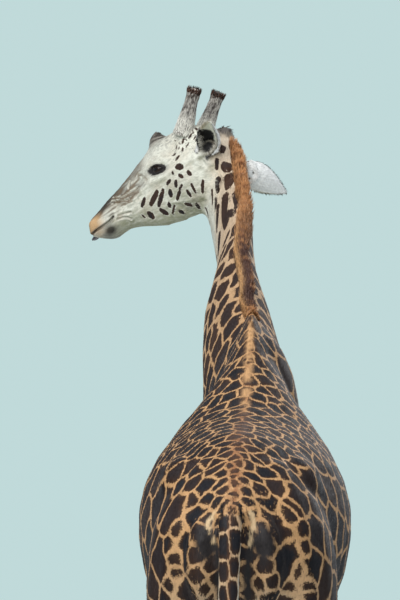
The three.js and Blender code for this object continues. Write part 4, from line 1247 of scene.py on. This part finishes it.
def lay_coat(name, words, count, seed, material):
    """Lays pointed locks over the named regions of the hide, as one piece."""
    rng = np.random.default_rng(seed)
    held = np.isin(region[triangle_points[:, 0]], [REGIONS.index(word) for word in words])
    p = points[triangle_points]
    area = np.linalg.norm(np.cross(p[:, 1] - p[:, 0], p[:, 2] - p[:, 0]), axis=1)
    size = hair_length[triangle_points].mean(axis=1)
    odds = area * held * hairy[triangle_points].min(axis=1) / size**2
    pick = rng.choice(len(odds), count, p=odds / odds.sum())
    shares = rng.dirichlet((1, 1, 1), count)
    own = triangle_points[pick]

    def mixed(values):
        return np.einsum("ij,ijk->ik", shares, values[own])

    root, up, lie = mixed(points), unit(mixed(normals)), mixed(hair_lie)
    lie = tangent(lie + rng.normal(0, 0.10, (count, 3)), up)
    across = np.cross(up, lie)
    long = mixed(hair_length[:, None])[:, 0] * rng.uniform(0.75, 1.25, count)
    off = mixed(loose[:, None])[:, 0]
    wide = 0.0006 + long * rng.uniform(0.13, 0.20, count)
    lift = 0.0004 + 0.060 * long * rng.uniform(0.7, 1.3, count) + 0.20 * off
    shape = LOCK[None]
    places = (root[:, None] + lie[:, None] * (shape[..., 0] * long[:, None])[..., None]
              + across[:, None] * (shape[..., 1] * wide[:, None])[..., None]
              + up[:, None] * (shape[..., 2] * lift[:, None])[..., None])
    # the markings run on over each lock as they do over the skin beneath it
    corner = points[own]
    first, second = corner[:, 1] - corner[:, 0], corner[:, 2] - corner[:, 0]
    gram = np.stack([(first * first).sum(1), (first * second).sum(1), (second * second).sum(1)], axis=1)
    inverse = gram[:, 0] * gram[:, 2] - gram[:, 1] ** 2
    away = places - corner[:, None, 0]
    one, two = np.einsum("nki,ni->nk", away, first), np.einsum("nki,ni->nk", away, second)
    s = (gram[:, 2, None] * one - gram[:, 1, None] * two) / inverse[:, None]
    t = (gram[:, 0, None] * two - gram[:, 1, None] * one) / inverse[:, None]
    spread = np.stack([1 - s - t, s, t], axis=2).clip(-6, 7)
    near = np.stack([1 - s - t, s, t], axis=2).clip(0, 1)
    near /= near.sum(axis=2, keepdims=True)

    lock_faces = (np.arange(count)[:, None, None] * 4 + LOCK_FACES).reshape(-1, 3)
    mesh = mesh_from(name, places.reshape(-1, 3), lock_faces)
    shine = up + rng.normal(0, 0.10, (count, 3)) + 4 * off[:, None] * rng.normal(0, 1, (count, 3))
    shine = unit(shine)
    mesh.normals_split_custom_set_from_vertices(np.repeat(shine, 4, axis=0).astype(np.float32))
    layer = mesh.uv_layers.new(name="OFBake")
    round_it, along_it = mixed(unwrapped).T
    strip = np.searchsorted(np.sort([REGIONS.index(word) for word in words]), region[own[:, 0]])
    round_it = (strip + round_it.clip(0.01, 0.99)) / len(words)
    map_place = np.stack([round_it, 0.06 + 0.86 * along_it], axis=1)
    on_map = (map_place[:, None] + LOCK_ON_MAP - 0.5 * PATCH_ON_MAP).clip(0.001, 0.999)
    layer.data.foreach_set("uv", on_map[:, LOCK_FACES].astype(np.float32).ravel())
    trio = triangle_corners[pick]
    write_values(mesh, "bounds", np.einsum("nkj,nji->nki", spread.clip(-2.5, 3.5), bounds[trio]))
    write_values(mesh, "chance", np.repeat(chance[trio[:, 0]], 4, axis=0))
    for label, kind, values in (("zone", "FLOAT_VECTOR", zone_values), ("tint", "FLOAT_COLOR", tint)):
        write_values(mesh, label, np.einsum("nkj,nji->nki", near, values[own]), kind)
    lines = np.einsum("nkj,nji->nki", near, line_values[own])
    lines[..., 2] = np.einsum("nkj,nj->nk", spread, line_values[own][..., 2]).clip(-0.02, 0.02)
    write_values(mesh, "line", lines)
    write_values(mesh, "place", np.einsum("nkj,nji->nki", spread, points[own]))
    write_values(mesh, "combed", np.einsum("nkj,nji->nki", spread, combed[own]))
    # each lock gets a random tone, and its root is darkened as painted shade where it lies on the skin, its
    # tip a little lighter
    tone = rng.uniform(0.86, 1.12, count)[:, None] * np.array([0.93, 0.93, 1.0, 1.04])
    write_values(mesh, "tone_and_root_shade", tone, "FLOAT")
    piece = placed(name, mesh)
    mesh.materials.append(material)
    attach(piece, "root")
    return piece


coat = Surface("giraffe coat", Roughness=0.52, Specular_IOR_Level=0.22)
tone = marked(coat, coat.attribute("place"))
tone_and_root_shade = coat.attribute("tone_and_root_shade", "Fac")
coat.set(Base_Color=coat.add("ShaderNodeVectorMath", {0: tone, "Scale": tone_and_root_shade}, operation="SCALE"))
COAT_PIECES = {  # the regions of each piece and its number of locks
    "coat_head": (("head",), 40000),
    "coat_ears": (("ear_left", "ear_right"), 12000),
    "coat_neck": (("neck",), 45000),
    "coat_left": (("flank_left",), 42000),
    "coat_right": (("flank_right",), 42000),
    "coat_rump": (("rump",), 40000),
    "coat_forelegs": (("fore_left", "fore_right"), 40000),
    "coat_hindlegs": (("hind_left", "hind_right"), 42000),
    "coat_tail": (("tail",), 6000),
}
for number, (name, (words, count)) in enumerate(COAT_PIECES.items()):
    lay_coat(name, words, count, 100 + number, coat.material)

# ==== Eyes ====
# Large dark wet eyeballs with a level pupil, set in the sockets behind the lids, and a row of
# stiff black lashes rooted on the upper lid.
def strands(roots, leads, bends, across, lengths, widths, flat=0.5, steps=2):
    """Tapered, closed three-sided locks: each starts along its lead and turns towards its bend."""
    count = len(roots)
    side = unit(across - leads * (across * leads).sum(axis=1)[:, None])
    up = np.cross(leads, side)
    rings = []
    for step in range(steps):
        share = step / steps
        middle = roots + (leads * share + bends * share**2) * lengths[:, None]
        half = 0.5 * widths * (1 - share) ** 0.6
        for turn in (pi / 2, pi * 7 / 6, pi * 11 / 6):
            wide, high = (cos(turn) * half)[:, None], (sin(turn) * half * flat)[:, None]
            rings.append(middle + side * wide + up * high)
    rings.append(roots + (leads + bends) * lengths[:, None])
    ring_corners = 3 * steps + 1
    faces = [(0, 2, 1)]
    for step in range(steps - 1):
        for k in range(3):
            here, there = 3 * step + k, 3 * step + (k + 1) % 3
            faces += [(here, there, there + 3), (here, there + 3, here + 3)]
    faces += [(3 * steps - 3 + k, 3 * steps - 3 + (k + 1) % 3, 3 * steps) for k in range(3)]
    flat_faces = (np.arange(count)[:, None, None] * ring_corners + np.array(faces)).reshape(-1, 3)
    return np.stack(rings, axis=1).reshape(-1, 3), flat_faces


def show(name, mesh, material, replaced=()):
    """Puts a mesh in the scene as a finished piece of the model."""
    piece = placed(name, mesh)
    mesh.materials.append(material)
    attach(piece, "root")
    if replaced:
        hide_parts(*replaced)
    return piece


IRIS_DARK, IRIS_BROWN, PUPIL = (0.010, 0.006, 0.004), (0.030, 0.016, 0.009), (0.002, 0.002, 0.003)
IRIS_EDGE, EYE_WHITE = (0.010, 0.008, 0.008), (0.030, 0.022, 0.018)
eye_wet = Surface(
    "giraffe eye", Roughness=0.12, Specular_IOR_Level=0.12, Coat_Weight=0.25, Coat_Roughness=0.04
)
forward, upward, outward = eye_wet.parts(eye_wet.attribute("gaze"))


def squares(one, other):
    return eye_wet.math("ADD", eye_wet.math("POWER", one, 2.0), eye_wet.math("POWER", other, 2.0))


# the pupil is wider than it is high
from_pupil = squares(eye_wet.math("DIVIDE", forward, 0.36), eye_wet.math("DIVIDE", upward, 0.20))
from_middle = eye_wet.math("SQRT", squares(forward, upward))
iris = eye_wet.blend(eye_wet.noise(eye_wet.attribute("gaze"), 0.07, 3.0), IRIS_DARK, IRIS_BROWN)
iris = eye_wet.blend(eye_wet.step(from_middle, 0.60, 0.74), iris, IRIS_EDGE)
iris = eye_wet.blend(eye_wet.step(from_middle, 0.80, 0.92), iris, EYE_WHITE)
eye_wet.set(Base_Color=eye_wet.blend(eye_wet.step(from_pupil, 1.15, 0.9), iris, PUPIL))
CORNEA_BULGE = 0.0016
lash_hair = Surface("giraffe lash", Base_Color=(0.012, 0.010, 0.010, 1), Roughness=0.45)
LASHES, LASH_LENGTH, LASH_WIDTH = 34, 0.026, 0.0011
for word, side in (("left", -1), ("right", 1)):
    bm = bmesh.new()
    bmesh.ops.create_uvsphere(bm, u_segments=64, v_segments=40, radius=EYE_RADIUS)
    eye_mesh = mesh_of(f"eyeball_{word}", bm)
    centre, outward, forward, upward = eye_frame(side)
    h = points_of(eye_mesh)
    gaze = h @ np.stack([forward, upward, outward], axis=1) / EYE_RADIUS
    h = h * (1 + CORNEA_BULGE / EYE_RADIUS * eased(gaze[:, 2:], 0.72, 0.90))
    set_points(eye_mesh, from_head(h + centre))
    smooth(eye_mesh)
    write_values(eye_mesh, "gaze", gaze)
    show(f"eyeball_{word}", eye_mesh, eye_wet.material, (f"eye_{word}",))

    rng = np.random.default_rng(7)
    turn = np.linspace(radians(14), radians(158), LASHES)
    limit = lid_limit(turn)
    heading = (np.cos(limit)[:, None] * outward + np.sin(limit)[:, None]
               * (np.cos(turn)[:, None] * forward + np.sin(turn)[:, None] * upward))
    roots = centre + heading * (EYE_RADIUS + LID_THICKNESS * 0.6)
    leads = unit(heading * 0.75 + outward * 0.75 - upward * 0.05 + rng.normal(0, 0.05, (LASHES, 3)))
    bends = -upward * 0.42 + np.outer(np.cos(turn), forward) * 0.25
    long = LASH_LENGTH * (0.65 + 0.35 * np.sin(turn)) * rng.uniform(0.85, 1.1, LASHES)
    wide = np.full(LASHES, LASH_WIDTH)
    places, faces = strands(roots, leads, bends, np.tile(forward, (LASHES, 1)), long, wide, 0.8, 4)
    lashes = mesh_from(f"lashes_{word}", from_head(places), faces)
    show(f"lashes_{word}", lashes, lash_hair.material)

# ==== Mane ====
# A short stiff brush that stands up along the crest of the neck, rust brown near the head and
# darker brown lower down, where purple-brown bands are painted shade among the locks, and ends in a tuft on
# the withers.
coarse_hair = Surface("giraffe coarse hair", Roughness=0.5, Specular_IOR_Level=0.35)
coarse_hair.set(Base_Color=coarse_hair.attribute("tint", "Color"))


def map_locks(mesh, corners_each, where_on_map):
    """Gives each lock its own small patch on the map, at its root's place."""
    layer = mesh.uv_layers.new(name="OFBake")
    vertex = corner_vertices(mesh)
    lock, corner = vertex // corners_each, vertex % corners_each
    within = np.stack([(corner % 3) / 2, (corner // 3) / max(corners_each // 3, 1)], axis=1) * PATCH_ON_MAP
    spot = 0.004 + 0.99 * where_on_map.clip(0, 1)
    on_map = (spot[lock] + within).clip(0.001, 0.999)
    layer.data.foreach_set("uv", on_map.astype(np.float32).ravel())


def lock_tints(count, corners_each, root_colours, tip_colours, rng, spread=0.16):
    """A colour for each corner of each lock, from root to tip, a little different from lock to lock."""
    share = np.minimum(np.arange(corners_each) // 3 / max(corners_each // 3, 1), 1.0)[None, :, None]
    tone = root_colours[:, None] * (1 - share) + tip_colours[:, None] * share
    tone = tone * rng.uniform(1 - spread, 1 + spread, (count, 1, 1))
    return np.concatenate([tone, np.ones((count, corners_each, 1))], axis=2).reshape(-1, 4)


skin_tree = BVHTree.FromPolygons(
    [Vector(p) for p in points], [list(face.vertices) for face in skin_mesh.polygons]
)
MANE_FROM, MANE_TO = 0.690, 1.895  # along +Y
MANE_HEIGHT, MANE_HALF = 0.078, 0.024
MANE_LINE = [  # under the crest
    (0.000, 0.500, 2.850), (0.000, 0.600, 2.950), (-0.011, 0.700, 3.000), (-0.032, 0.840, 3.090),
    (-0.038, 0.950, 3.170), (-0.055, 1.080, 3.240), (-0.069, 1.200, 3.320), (-0.070, 1.315, 3.400),
    (-0.068, 1.430, 3.470), (-0.071, 1.535, 3.530), (-0.087, 1.620, 3.590), (-0.110, 1.765, 3.680),
    (-0.124, 1.825, 3.710), (-0.150, 1.950, 3.790),
]
crest_line = curved([np.array(place, float) for place in MANE_LINE], steps=20)
crest_along = unit(np.gradient(crest_line, axis=0))


def on_crest(far, aside):
    """The skin's place on the crest of the neck, and the directions along, across and up there."""
    line = np.array([np.interp(far, crest_line[:, 1], crest_line[:, k]) for k in range(3)])
    along = np.array([np.interp(far, crest_line[:, 1], crest_along[:, k]) for k in range(3)])
    across = np.cross(along, (0, 0, 1))
    across /= np.linalg.norm(across)
    up = np.cross(across, along)
    start = line + body_shift + across * aside
    met, _, _, _ = skin_tree.ray_cast(Vector(start + up * 0.6), Vector(-up))
    return np.array(met if met is not None else start), along, across, up


MANE_LOCKS, MANE_LENGTH = 8200, MANE_TO - MANE_FROM + 0.05
rng = np.random.default_rng(61)
far = MANE_FROM - 0.05 + MANE_LENGTH * rng.random(MANE_LOCKS)
aside = MANE_HALF * (2 * rng.beta(1.6, 1.6, MANE_LOCKS) - 1)
rooted = [on_crest(f, a) for f, a in zip(far, aside)]
roots, along, across, up = (np.array([one[k] for one in rooted]) for k in range(4))
rise = eased(far, 0.50, 0.96)
fall = 1 - 0.45 * eased(far, 1.78, 1.925)
crown = 1 - 0.30 * (aside / MANE_HALF) ** 2
long = MANE_HEIGHT * (0.30 + 0.70 * rise) * fall * crown * rng.uniform(0.78, 1.0, MANE_LOCKS)
leads = up + across * (aside / MANE_HALF * 0.16)[:, None] - along * 0.10
leads = leads + rng.normal(0, 0.07, (MANE_LOCKS, 3))
leads = unit(leads - along * (0.9 * (1 - rise))[:, None])
wide = rng.uniform(0.0032, 0.0052, MANE_LOCKS)
places, faces = strands(roots - up * 0.004, leads, -along * 0.10, along + 0.3 * across, long, wide, 0.6, 3)
mane_mesh = mesh_from("mane", places, faces)
bands = np.array([noise.noise(Vector((0, f / 0.022, a / 0.08))) for f, a in zip(far, aside)])
lower = (1 - eased(far, 1.20, 1.58))[:, None]
RUST, RUST_DARK = (0.54, 0.270, 0.110), (0.22, 0.090, 0.038)
MANE_SHADE_PURPLE, MANE_TAN = (0.100, 0.047, 0.034), (0.64, 0.38, 0.17)
rust = np.array(RUST) + (np.array(RUST_DARK) - RUST) * eased(bands, 0.0, 0.35)[:, None]
# lower down the locks are darker brown, in bands of purple-brown that are painted shade
dark_and_shaded = np.array(MANE_SHADE_PURPLE) + (np.array(RUST) - MANE_SHADE_PURPLE) * eased(bands, 0.15, 0.40)[:, None]
middle = np.exp(-(((aside + 0.016) / 0.007) ** 2))[:, None] * lower
tone = rust + (dark_and_shaded - rust) * lower
tone = tone + (np.array(MANE_TAN) - tone) * middle
withers = (1 - eased(far, 0.70, 0.86))[:, None]
tone = tone + (np.array(RUST) * 1.05 - tone) * withers * 0.8
tints = lock_tints(MANE_LOCKS, 10, tone * 0.62, tone * 1.25, rng)
write_values(mane_mesh, "tint", tints, "FLOAT_COLOR")
on_map = [(far - MANE_FROM + 0.05) / MANE_LENGTH, 0.5 + aside / MANE_HALF * 0.45]
map_locks(mane_mesh, 10, np.stack(on_map, axis=1))
show("mane_hair", mane_mesh, coarse_hair.material, ("mane",))

# ==== Tail brush ====
# Long coarse black hair that hangs from the end of the tail in heavy locks, brown at their tips. The
# locks are rooted all round it, one below the other over 0.3 m, and draw together at their ends.
BRUSH_LOCKS, BRUSH_TOP, BRUSH_REACH = 1500, 1.445, 0.645
BRUSH_MIDDLE = (-0.013, -0.898)
BRUSH_BLACK, BRUSH_BROWN = (0.010, 0.008, 0.009), (0.030, 0.017, 0.011)
rng = np.random.default_rng(62)
down = rng.random(BRUSH_LOCKS) ** 1.4
turn = rng.uniform(0, 2 * pi, BRUSH_LOCKS)
spread = 0.024 - 0.010 * down
aside, back = BRUSH_MIDDLE[0] + np.cos(turn) * spread, BRUSH_MIDDLE[1] + np.sin(turn) * spread
roots = np.stack([aside, back, BRUSH_TOP - 0.30 * down], axis=1)
leads = np.stack([np.cos(turn) * 0.085, np.sin(turn) * 0.065, -np.ones(BRUSH_LOCKS)], axis=1)
leads += rng.normal(0, 0.010, leads.shape)
bends = np.stack([-np.cos(turn) * 0.085, -np.sin(turn) * 0.065, np.zeros(BRUSH_LOCKS)], axis=1)
bends += rng.normal(0, 0.012, bends.shape) * [1, 1, 0]
long = (roots[:, 2] - (BRUSH_TOP - BRUSH_REACH)) * rng.uniform(0.80, 1.0, BRUSH_LOCKS)
wide = rng.uniform(0.005, 0.009, BRUSH_LOCKS)
across = np.stack([-np.sin(turn), np.cos(turn), turn * 0], axis=1)
places, faces = strands(roots + body_shift, leads, bends, across, long, wide, 0.5, 5)
brush_mesh = mesh_from("tail_brush", places, faces)
black, brown = (np.tile(hair, (BRUSH_LOCKS, 1)) for hair in (BRUSH_BLACK, BRUSH_BROWN))
tints = lock_tints(BRUSH_LOCKS, 16, black, brown, rng, 0.35)
write_values(brush_mesh, "tint", tints, "FLOAT_COLOR")
map_locks(brush_mesh, 16, np.stack([turn / (2 * pi), down], axis=1))
show("tail_brush_hair", brush_mesh, coarse_hair.material, ("tail_brush",))

# ==== Horns ====
# Two blunt bony horns grown from the skull and covered in grey hair, with a dark fringe round a
# worn bald top.
HORN_RADIUS = 0.0262
HORN_PROFILE = [  # radius as a share of the horn's, and height
    (0.0, -0.034), (1.50, -0.034), (1.42, -0.012), (1.32, 0.012), (1.16, 0.040), (1.02, 0.068),
    (0.96, 0.092), (0.94, 0.112), (0.99, 0.125), (1.00, 0.135), (0.90, 0.143), (0.68, 0.1485),
    (0.38, 0.151), (0.0, 0.152),
]
horn_bone = Surface("giraffe horn", Roughness=0.6)
horn_where = horn_bone.attribute("horn")
horn_up = horn_bone.parts(horn_where)[2]
drawn_out = horn_bone.add("ShaderNodeMapping", {"Vector": horn_where, "Scale": (1, 1, 0.25)})
grain = horn_bone.noise(drawn_out, 0.004, 3.0)
skin_grey = horn_bone.blend(horn_bone.step(grain, 0.40, 0.62), (0.085, 0.072, 0.062), (0.42, 0.39, 0.34))
foot_share = horn_bone.step(horn_up, 0.075, 0.005)
foot_grey = horn_bone.blend(horn_bone.step(grain, 0.42, 0.58), (0.20, 0.18, 0.155), (0.74, 0.72, 0.63))
skin_grey = horn_bone.blend(foot_share, skin_grey, foot_grey)
bald = horn_bone.blend(horn_bone.noise(horn_where, 0.006, 3.0), (0.42, 0.34, 0.26), (0.66, 0.58, 0.48))
horn_bone.set(Base_Color=horn_bone.blend(horn_bone.step(horn_up, 0.148, 0.154), skin_grey, bald))
horn_bone.bump(grain, 0.5, 0.002)
HORN_LOCKS = 3600
HORN_DARK, HORN_GREY, HORN_WHITE = (0.060, 0.047, 0.042), (0.44, 0.41, 0.37), (0.80, 0.77, 0.69)
FRINGE_BLACK, FRINGE_RUST = (0.035, 0.019, 0.013), (0.16, 0.070, 0.040)
for word, side in (("left", -1), ("right", 1)):
    lean = np.array([side * 0.1, -0.72, 0.69])
    lean /= np.linalg.norm(lean)
    stand = np.array(Vector((0, 0, 1)).rotation_difference(Vector(lean)).to_matrix())
    foot = np.array([side * 0.064, -0.174, 0.080])
    line = curved([np.array([radius * HORN_RADIUS, 0, height]) for radius, height in HORN_PROFILE], steps=5)
    line[:, 0] = line[:, 0].clip(0)
    line[[0, -1], 0] = 0
    bm = bmesh.new()
    row = [bm.verts.new(place) for place in line]
    edges = [bm.edges.new(pair) for pair in zip(row, row[1:])]
    bmesh.ops.spin(bm, geom=row + edges, axis=(0, 0, 1), cent=(0, 0, 0), steps=48, angle=2 * pi)
    bmesh.ops.remove_doubles(bm, verts=bm.verts, dist=1e-5)
    bmesh.ops.recalc_face_normals(bm, faces=bm.faces)
    horn_mesh = mesh_of(f"horn_{word}", bm)
    local = points_of(horn_mesh)
    knobs = np.array([noise.noise(Vector(p) / 0.022 + Vector((side * 5, 0, 0))) for p in local])
    out = local * [1, 1, 0]
    local = local + out / np.maximum(np.linalg.norm(out, axis=1), 1e-6)[:, None] * (0.0022 * knobs)[:, None]
    write_values(horn_mesh, "horn", local)
    set_points(horn_mesh, from_head(local @ stand.T + foot))
    smooth(horn_mesh)
    show(f"horn_{word}", horn_mesh, horn_bone.material, (f"ossicone_{word}",))

    rng = np.random.default_rng(63 + side)
    height = -0.030 + 0.176 * rng.random(HORN_LOCKS)
    turn = rng.uniform(0, 2 * pi, HORN_LOCKS)
    horn_wide, horn_high = zip(*HORN_PROFILE[1:])
    radius = HORN_RADIUS * np.interp(height, horn_high, horn_wide)
    out = np.stack([np.cos(turn), np.sin(turn), np.zeros(HORN_LOCKS)], axis=1)
    top = eased(height, 0.112, 0.140)
    roots = out * (radius - 0.001)[:, None] + np.stack([turn * 0, turn * 0, height], axis=1)
    leads = out * (0.10 + 0.22 * top)[:, None] + np.array([0, 0, 1.0])
    leads = leads + rng.normal(0, 0.06, (HORN_LOCKS, 3))
    leads[:, 2] *= 1 - 0.25 * top
    leads = unit(leads)
    long = rng.uniform(0.010, 0.016, HORN_LOCKS) + 0.006 * top
    long = np.minimum(long, 0.162 - height).clip(0.004)
    wide = rng.uniform(0.0022, 0.0036, HORN_LOCKS)
    places, faces = strands(roots, leads, -out * 0.12, np.cross(out, leads), long, wide, 0.5, 2)
    fringe = mesh_from(f"horn_hair_{word}", from_head(places @ stand.T + foot), faces)
    streak = np.array([
        noise.noise(Vector((np.cos(t) * 2.2, np.sin(t) * 2.2, u / 0.035))) for t, u in zip(turn, height)
    ])
    pepper = rng.random(HORN_LOCKS)[:, None]
    grey = np.where(pepper < 0.42 + 0.9 * streak[:, None], HORN_DARK, HORN_GREY)
    whiter = (1 - eased(height + 0.02 * streak, 0.005, 0.085)) * np.where(pepper[:, 0] < 0.16, 0.35, 0.92)
    grey = grey + (np.array(HORN_WHITE) - grey) * whiter[:, None]
    tone = grey + (np.array(FRINGE_BLACK) - grey) * (eased(height, 0.098, 0.122))[:, None]
    tone = np.where((pepper > 0.80) & (height[:, None] > 0.11), FRINGE_RUST, tone)
    tints = lock_tints(HORN_LOCKS, 7, tone, tone * 1.1, rng)
    write_values(fringe, "tint", tints, "FLOAT_COLOR")
    map_locks(fringe, 7, np.stack([turn / (2 * pi), (height + 0.02) / 0.18], axis=1))
    show(f"horn_hair_{word}", fringe, coarse_hair.material)

# ==== Ear hair ====
# Long pale hair that crosses the opening of each ear. It is rooted on the inner face near the rims,
# and thins out towards the tip.
EAR_LOCKS, EAR_HAIR = 520, (0.70, 0.67, 0.58)
for number, word in enumerate(EARS):
    rng = np.random.default_rng(70 + number)
    ear = in_ear(points, normals, word)
    odds = on_ear[word] * eased(ear["inward"], 0.1, 0.5) * eased(np.abs(ear["turn"]), 0.55, 0.85)
    odds = odds * eased(ear["share"], 0.05, 0.2) * (1 - 0.75 * eased(ear["share"], 0.55, 0.95))
    odds = odds * (1 - 0.93 * eased(-ear["turn"], -0.1, 0.2) * eased(ear["share"], 0.22, 0.34))
    pick = rng.choice(len(points), EAR_LOCKS, p=odds / odds.sum())
    inwards = -ear["off"][pick] / np.maximum(ear["reach"][pick], 1e-6)[:, None]
    leads = inwards * 0.45 + ear["axis"] * 0.9 + ear["outwards"] * 0.25
    leads = unit(leads + rng.normal(0, 0.16, (EAR_LOCKS, 3)))
    long, wide = rng.uniform(0.010, 0.026, EAR_LOCKS), rng.uniform(0.0014, 0.0024, EAR_LOCKS)
    across = np.tile(ear["across"], (EAR_LOCKS, 1))
    places, faces = strands(points[pick], leads, inwards * 0.25, across, long, wide, 0.5, 2)
    tuft = mesh_from(f"ear_hair_{word}", places, faces)
    cream = np.tile(EAR_HAIR, (EAR_LOCKS, 1))
    tints = lock_tints(EAR_LOCKS, 7, cream * 0.8, cream, rng)
    write_values(tuft, "tint", tints, "FLOAT_COLOR")
    map_locks(tuft, 7, np.stack([0.5 + 0.45 * ear["turn"][pick].clip(-1, 1), ear["share"][pick]], axis=1))
    show(f"ear_hair_{word}", tuft, coarse_hair.material)

# ==== Tongue ====
# The dark wet tip that shows between the lips, a flat oval with a furrow down its middle. It is set
# into the mouth, and slopes down towards its end.
TONGUE_HALF = [0.0145, 0.0255, 0.0075]  # half its width, length and thickness
TONGUE_PLACE = [-0.004, 0.414, -0.084]  # in the head's frame
tongue_wet = Surface("giraffe tongue", Roughness=0.25, Base_Color=(0.030, 0.020, 0.028, 1), Coat_Weight=0.5)
bm = bmesh.new()
bmesh.ops.create_uvsphere(bm, u_segments=36, v_segments=24, radius=1)
tongue_mesh = mesh_of("tongue_tip", bm)
local = points_of(tongue_mesh) * TONGUE_HALF
local[:, 2] -= 0.0022 * np.exp(-((local[:, 0] / 0.004) ** 2)) * np.sign(local[:, 2])
local[:, 2] -= 0.10 * local[:, 1].clip(0)
set_points(tongue_mesh, from_head(local + TONGUE_PLACE))
smooth(tongue_mesh)
show("tongue_tip", tongue_mesh, tongue_wet.material, ("tongue",))

# ==== Hooves ====
# Each foot stands on two claws of dark horn, a cleft apart, ringed by growth and worn at the sole.
# Each claw keeps the form of its solid, its edges rounded, and goes up under the hair of the leg.
HOOF_GRAIN = 0.0038
HOOF_DARK, HOOF_BROWN = (0.035, 0.027, 0.022), (0.120, 0.092, 0.070)
HOOF_SOLE, HOOF_RING = (0.20, 0.165, 0.125), (0.055, 0.042, 0.034)
hoof_horn = Surface("giraffe hoof", Roughness=0.42, Specular_IOR_Level=0.4)
hoof_where = hoof_horn.attribute("place")
drawn_down = hoof_horn.add("ShaderNodeMapping", {"Vector": hoof_where, "Scale": (1, 1, 0.12)})
streaks = hoof_horn.noise(drawn_down, 0.003, 3.0)
drawn_round = hoof_horn.add("ShaderNodeMapping", {"Vector": hoof_where, "Scale": (0.1, 0.1, 1)})
rings = hoof_horn.noise(drawn_round, 0.006, 2.0)
horn_tone = hoof_horn.blend(streaks, HOOF_DARK, HOOF_BROWN)
low = hoof_horn.step(hoof_horn.parts(hoof_where)[2], 0.035, 0.0)
horn_tone = hoof_horn.blend(hoof_horn.math("MULTIPLY", low, 0.65), horn_tone, HOOF_SOLE)
hoof_horn.set(Base_Color=hoof_horn.blend(hoof_horn.step(rings, 0.35, 0.7), horn_tone, HOOF_RING))
hoof_horn.bump(hoof_horn.math("ADD", rings, hoof_horn.math("MULTIPLY", streaks, 0.4)), 0.5, 0.0015)
for leg in LEG_LINES:
    for claw in "ab":
        name = f"hoof_{leg}_{claw}"
        bm = bmesh.new()
        add_copy(bm, name, 0.0004)
        hoof_mesh = remeshed(bm, HOOF_GRAIN)
        place = evened(points_of(hoof_mesh), edges_of(hoof_mesh), rounds=5)
        ripple = 0.0005 * np.sin(place[:, 2] / 0.0024 + 2.5 * np.sin(place[:, 0] / 0.03))
        ripple = ripple * eased(place[:, 2], 0.008, 0.02)
        place = place + normals_of(hoof_mesh) * ripple[:, None]
        place[:, 2] = place[:, 2].clip(0)
        set_points(hoof_mesh, place)
        smooth(hoof_mesh)
        write_values(hoof_mesh, "place", place)
        show(f"claw_{leg}_{claw}", hoof_mesh, hoof_horn.material, (name,))

# ==== Studio ====
# A wide pale floor, a plain backdrop that only the camera sees, and soft light from a pale sky and two
# round lamps, one high behind the animal on its left and one in front of it on its right.
FLOOR_RADIUS, FLOOR_PAINT = 600, (0.66, 0.70, 0.68, 1)
SKY, SKY_STRENGTH = (0.86, 0.93, 1.0, 1), 0.62
BACKDROP, BACKDROP_STRENGTH = (0.53, 0.70, 0.70, 1), 1.0
bm = bmesh.new()
bmesh.ops.create_circle(bm, cap_ends=True, segments=96, radius=FLOOR_RADIUS)
floor = placed("floor", mesh_of("floor", bm))
floor.data.materials.append(Surface("floor_paint", Base_Color=FLOOR_PAINT, Roughness=0.9).material)

world = bpy.data.worlds.new("studio")
bpy.context.scene.world = world
world.use_nodes = True
nodes, links = world.node_tree.nodes, world.node_tree.links
nodes.clear()


def glow(colour, strength):
    background = nodes.new("ShaderNodeBackground")
    background.inputs["Color"].default_value = colour
    background.inputs["Strength"].default_value = strength
    return background


sky_light, backdrop = glow(SKY, SKY_STRENGTH), glow(BACKDROP, BACKDROP_STRENGTH)
seen = nodes.new("ShaderNodeLightPath")
pick = nodes.new("ShaderNodeMixShader")
output = nodes.new("ShaderNodeOutputWorld")
links.new(seen.outputs["Is Camera Ray"], pick.inputs["Fac"])
links.new(sky_light.outputs[0], pick.inputs[1])
links.new(backdrop.outputs[0], pick.inputs[2])
links.new(pick.outputs[0], output.inputs["Surface"])

LAMPS = [  # name, place, size, power
    ("overhead", (-3, -7, 10), 9, 1060),
    ("front", (4, 9, 8), 8, 340),
]
LAMP_AIM = (0, 0, 2.4)
for name, place, size, power in LAMPS:
    lamp = bpy.data.lights.new(name, "AREA")
    lamp.shape, lamp.size, lamp.energy = "DISK", size, power
    hung = placed(name, lamp)
    hung.location = place
    hung.rotation_euler = (Vector(LAMP_AIM) - Vector(place)).to_track_quat("-Z", "Y").to_euler()
    hung.visible_camera = False

# ==== Camera ====
# A long lens far behind the animal, a little above the eye height of a standing person, tilted up
# slightly and turned a little to the left.
LENS, SENSOR_WIDTH, FARTHEST = 667.2, 36, 2000
CAMERA_PLACE, CAMERA_TILT, CAMERA_TURN = (2.1331, -41.4286, 2.2), 91.3909, 3  # metres and degrees
lens = bpy.data.cameras.new("camera")
lens.lens, lens.sensor_width, lens.clip_end = LENS, SENSOR_WIDTH, FARTHEST
camera = placed("camera", lens)
camera.location = CAMERA_PLACE
camera.rotation_euler = (radians(CAMERA_TILT), 0, radians(CAMERA_TURN))
bpy.context.scene.camera = camera
bpy.context.scene.view_settings.view_transform = "Standard"
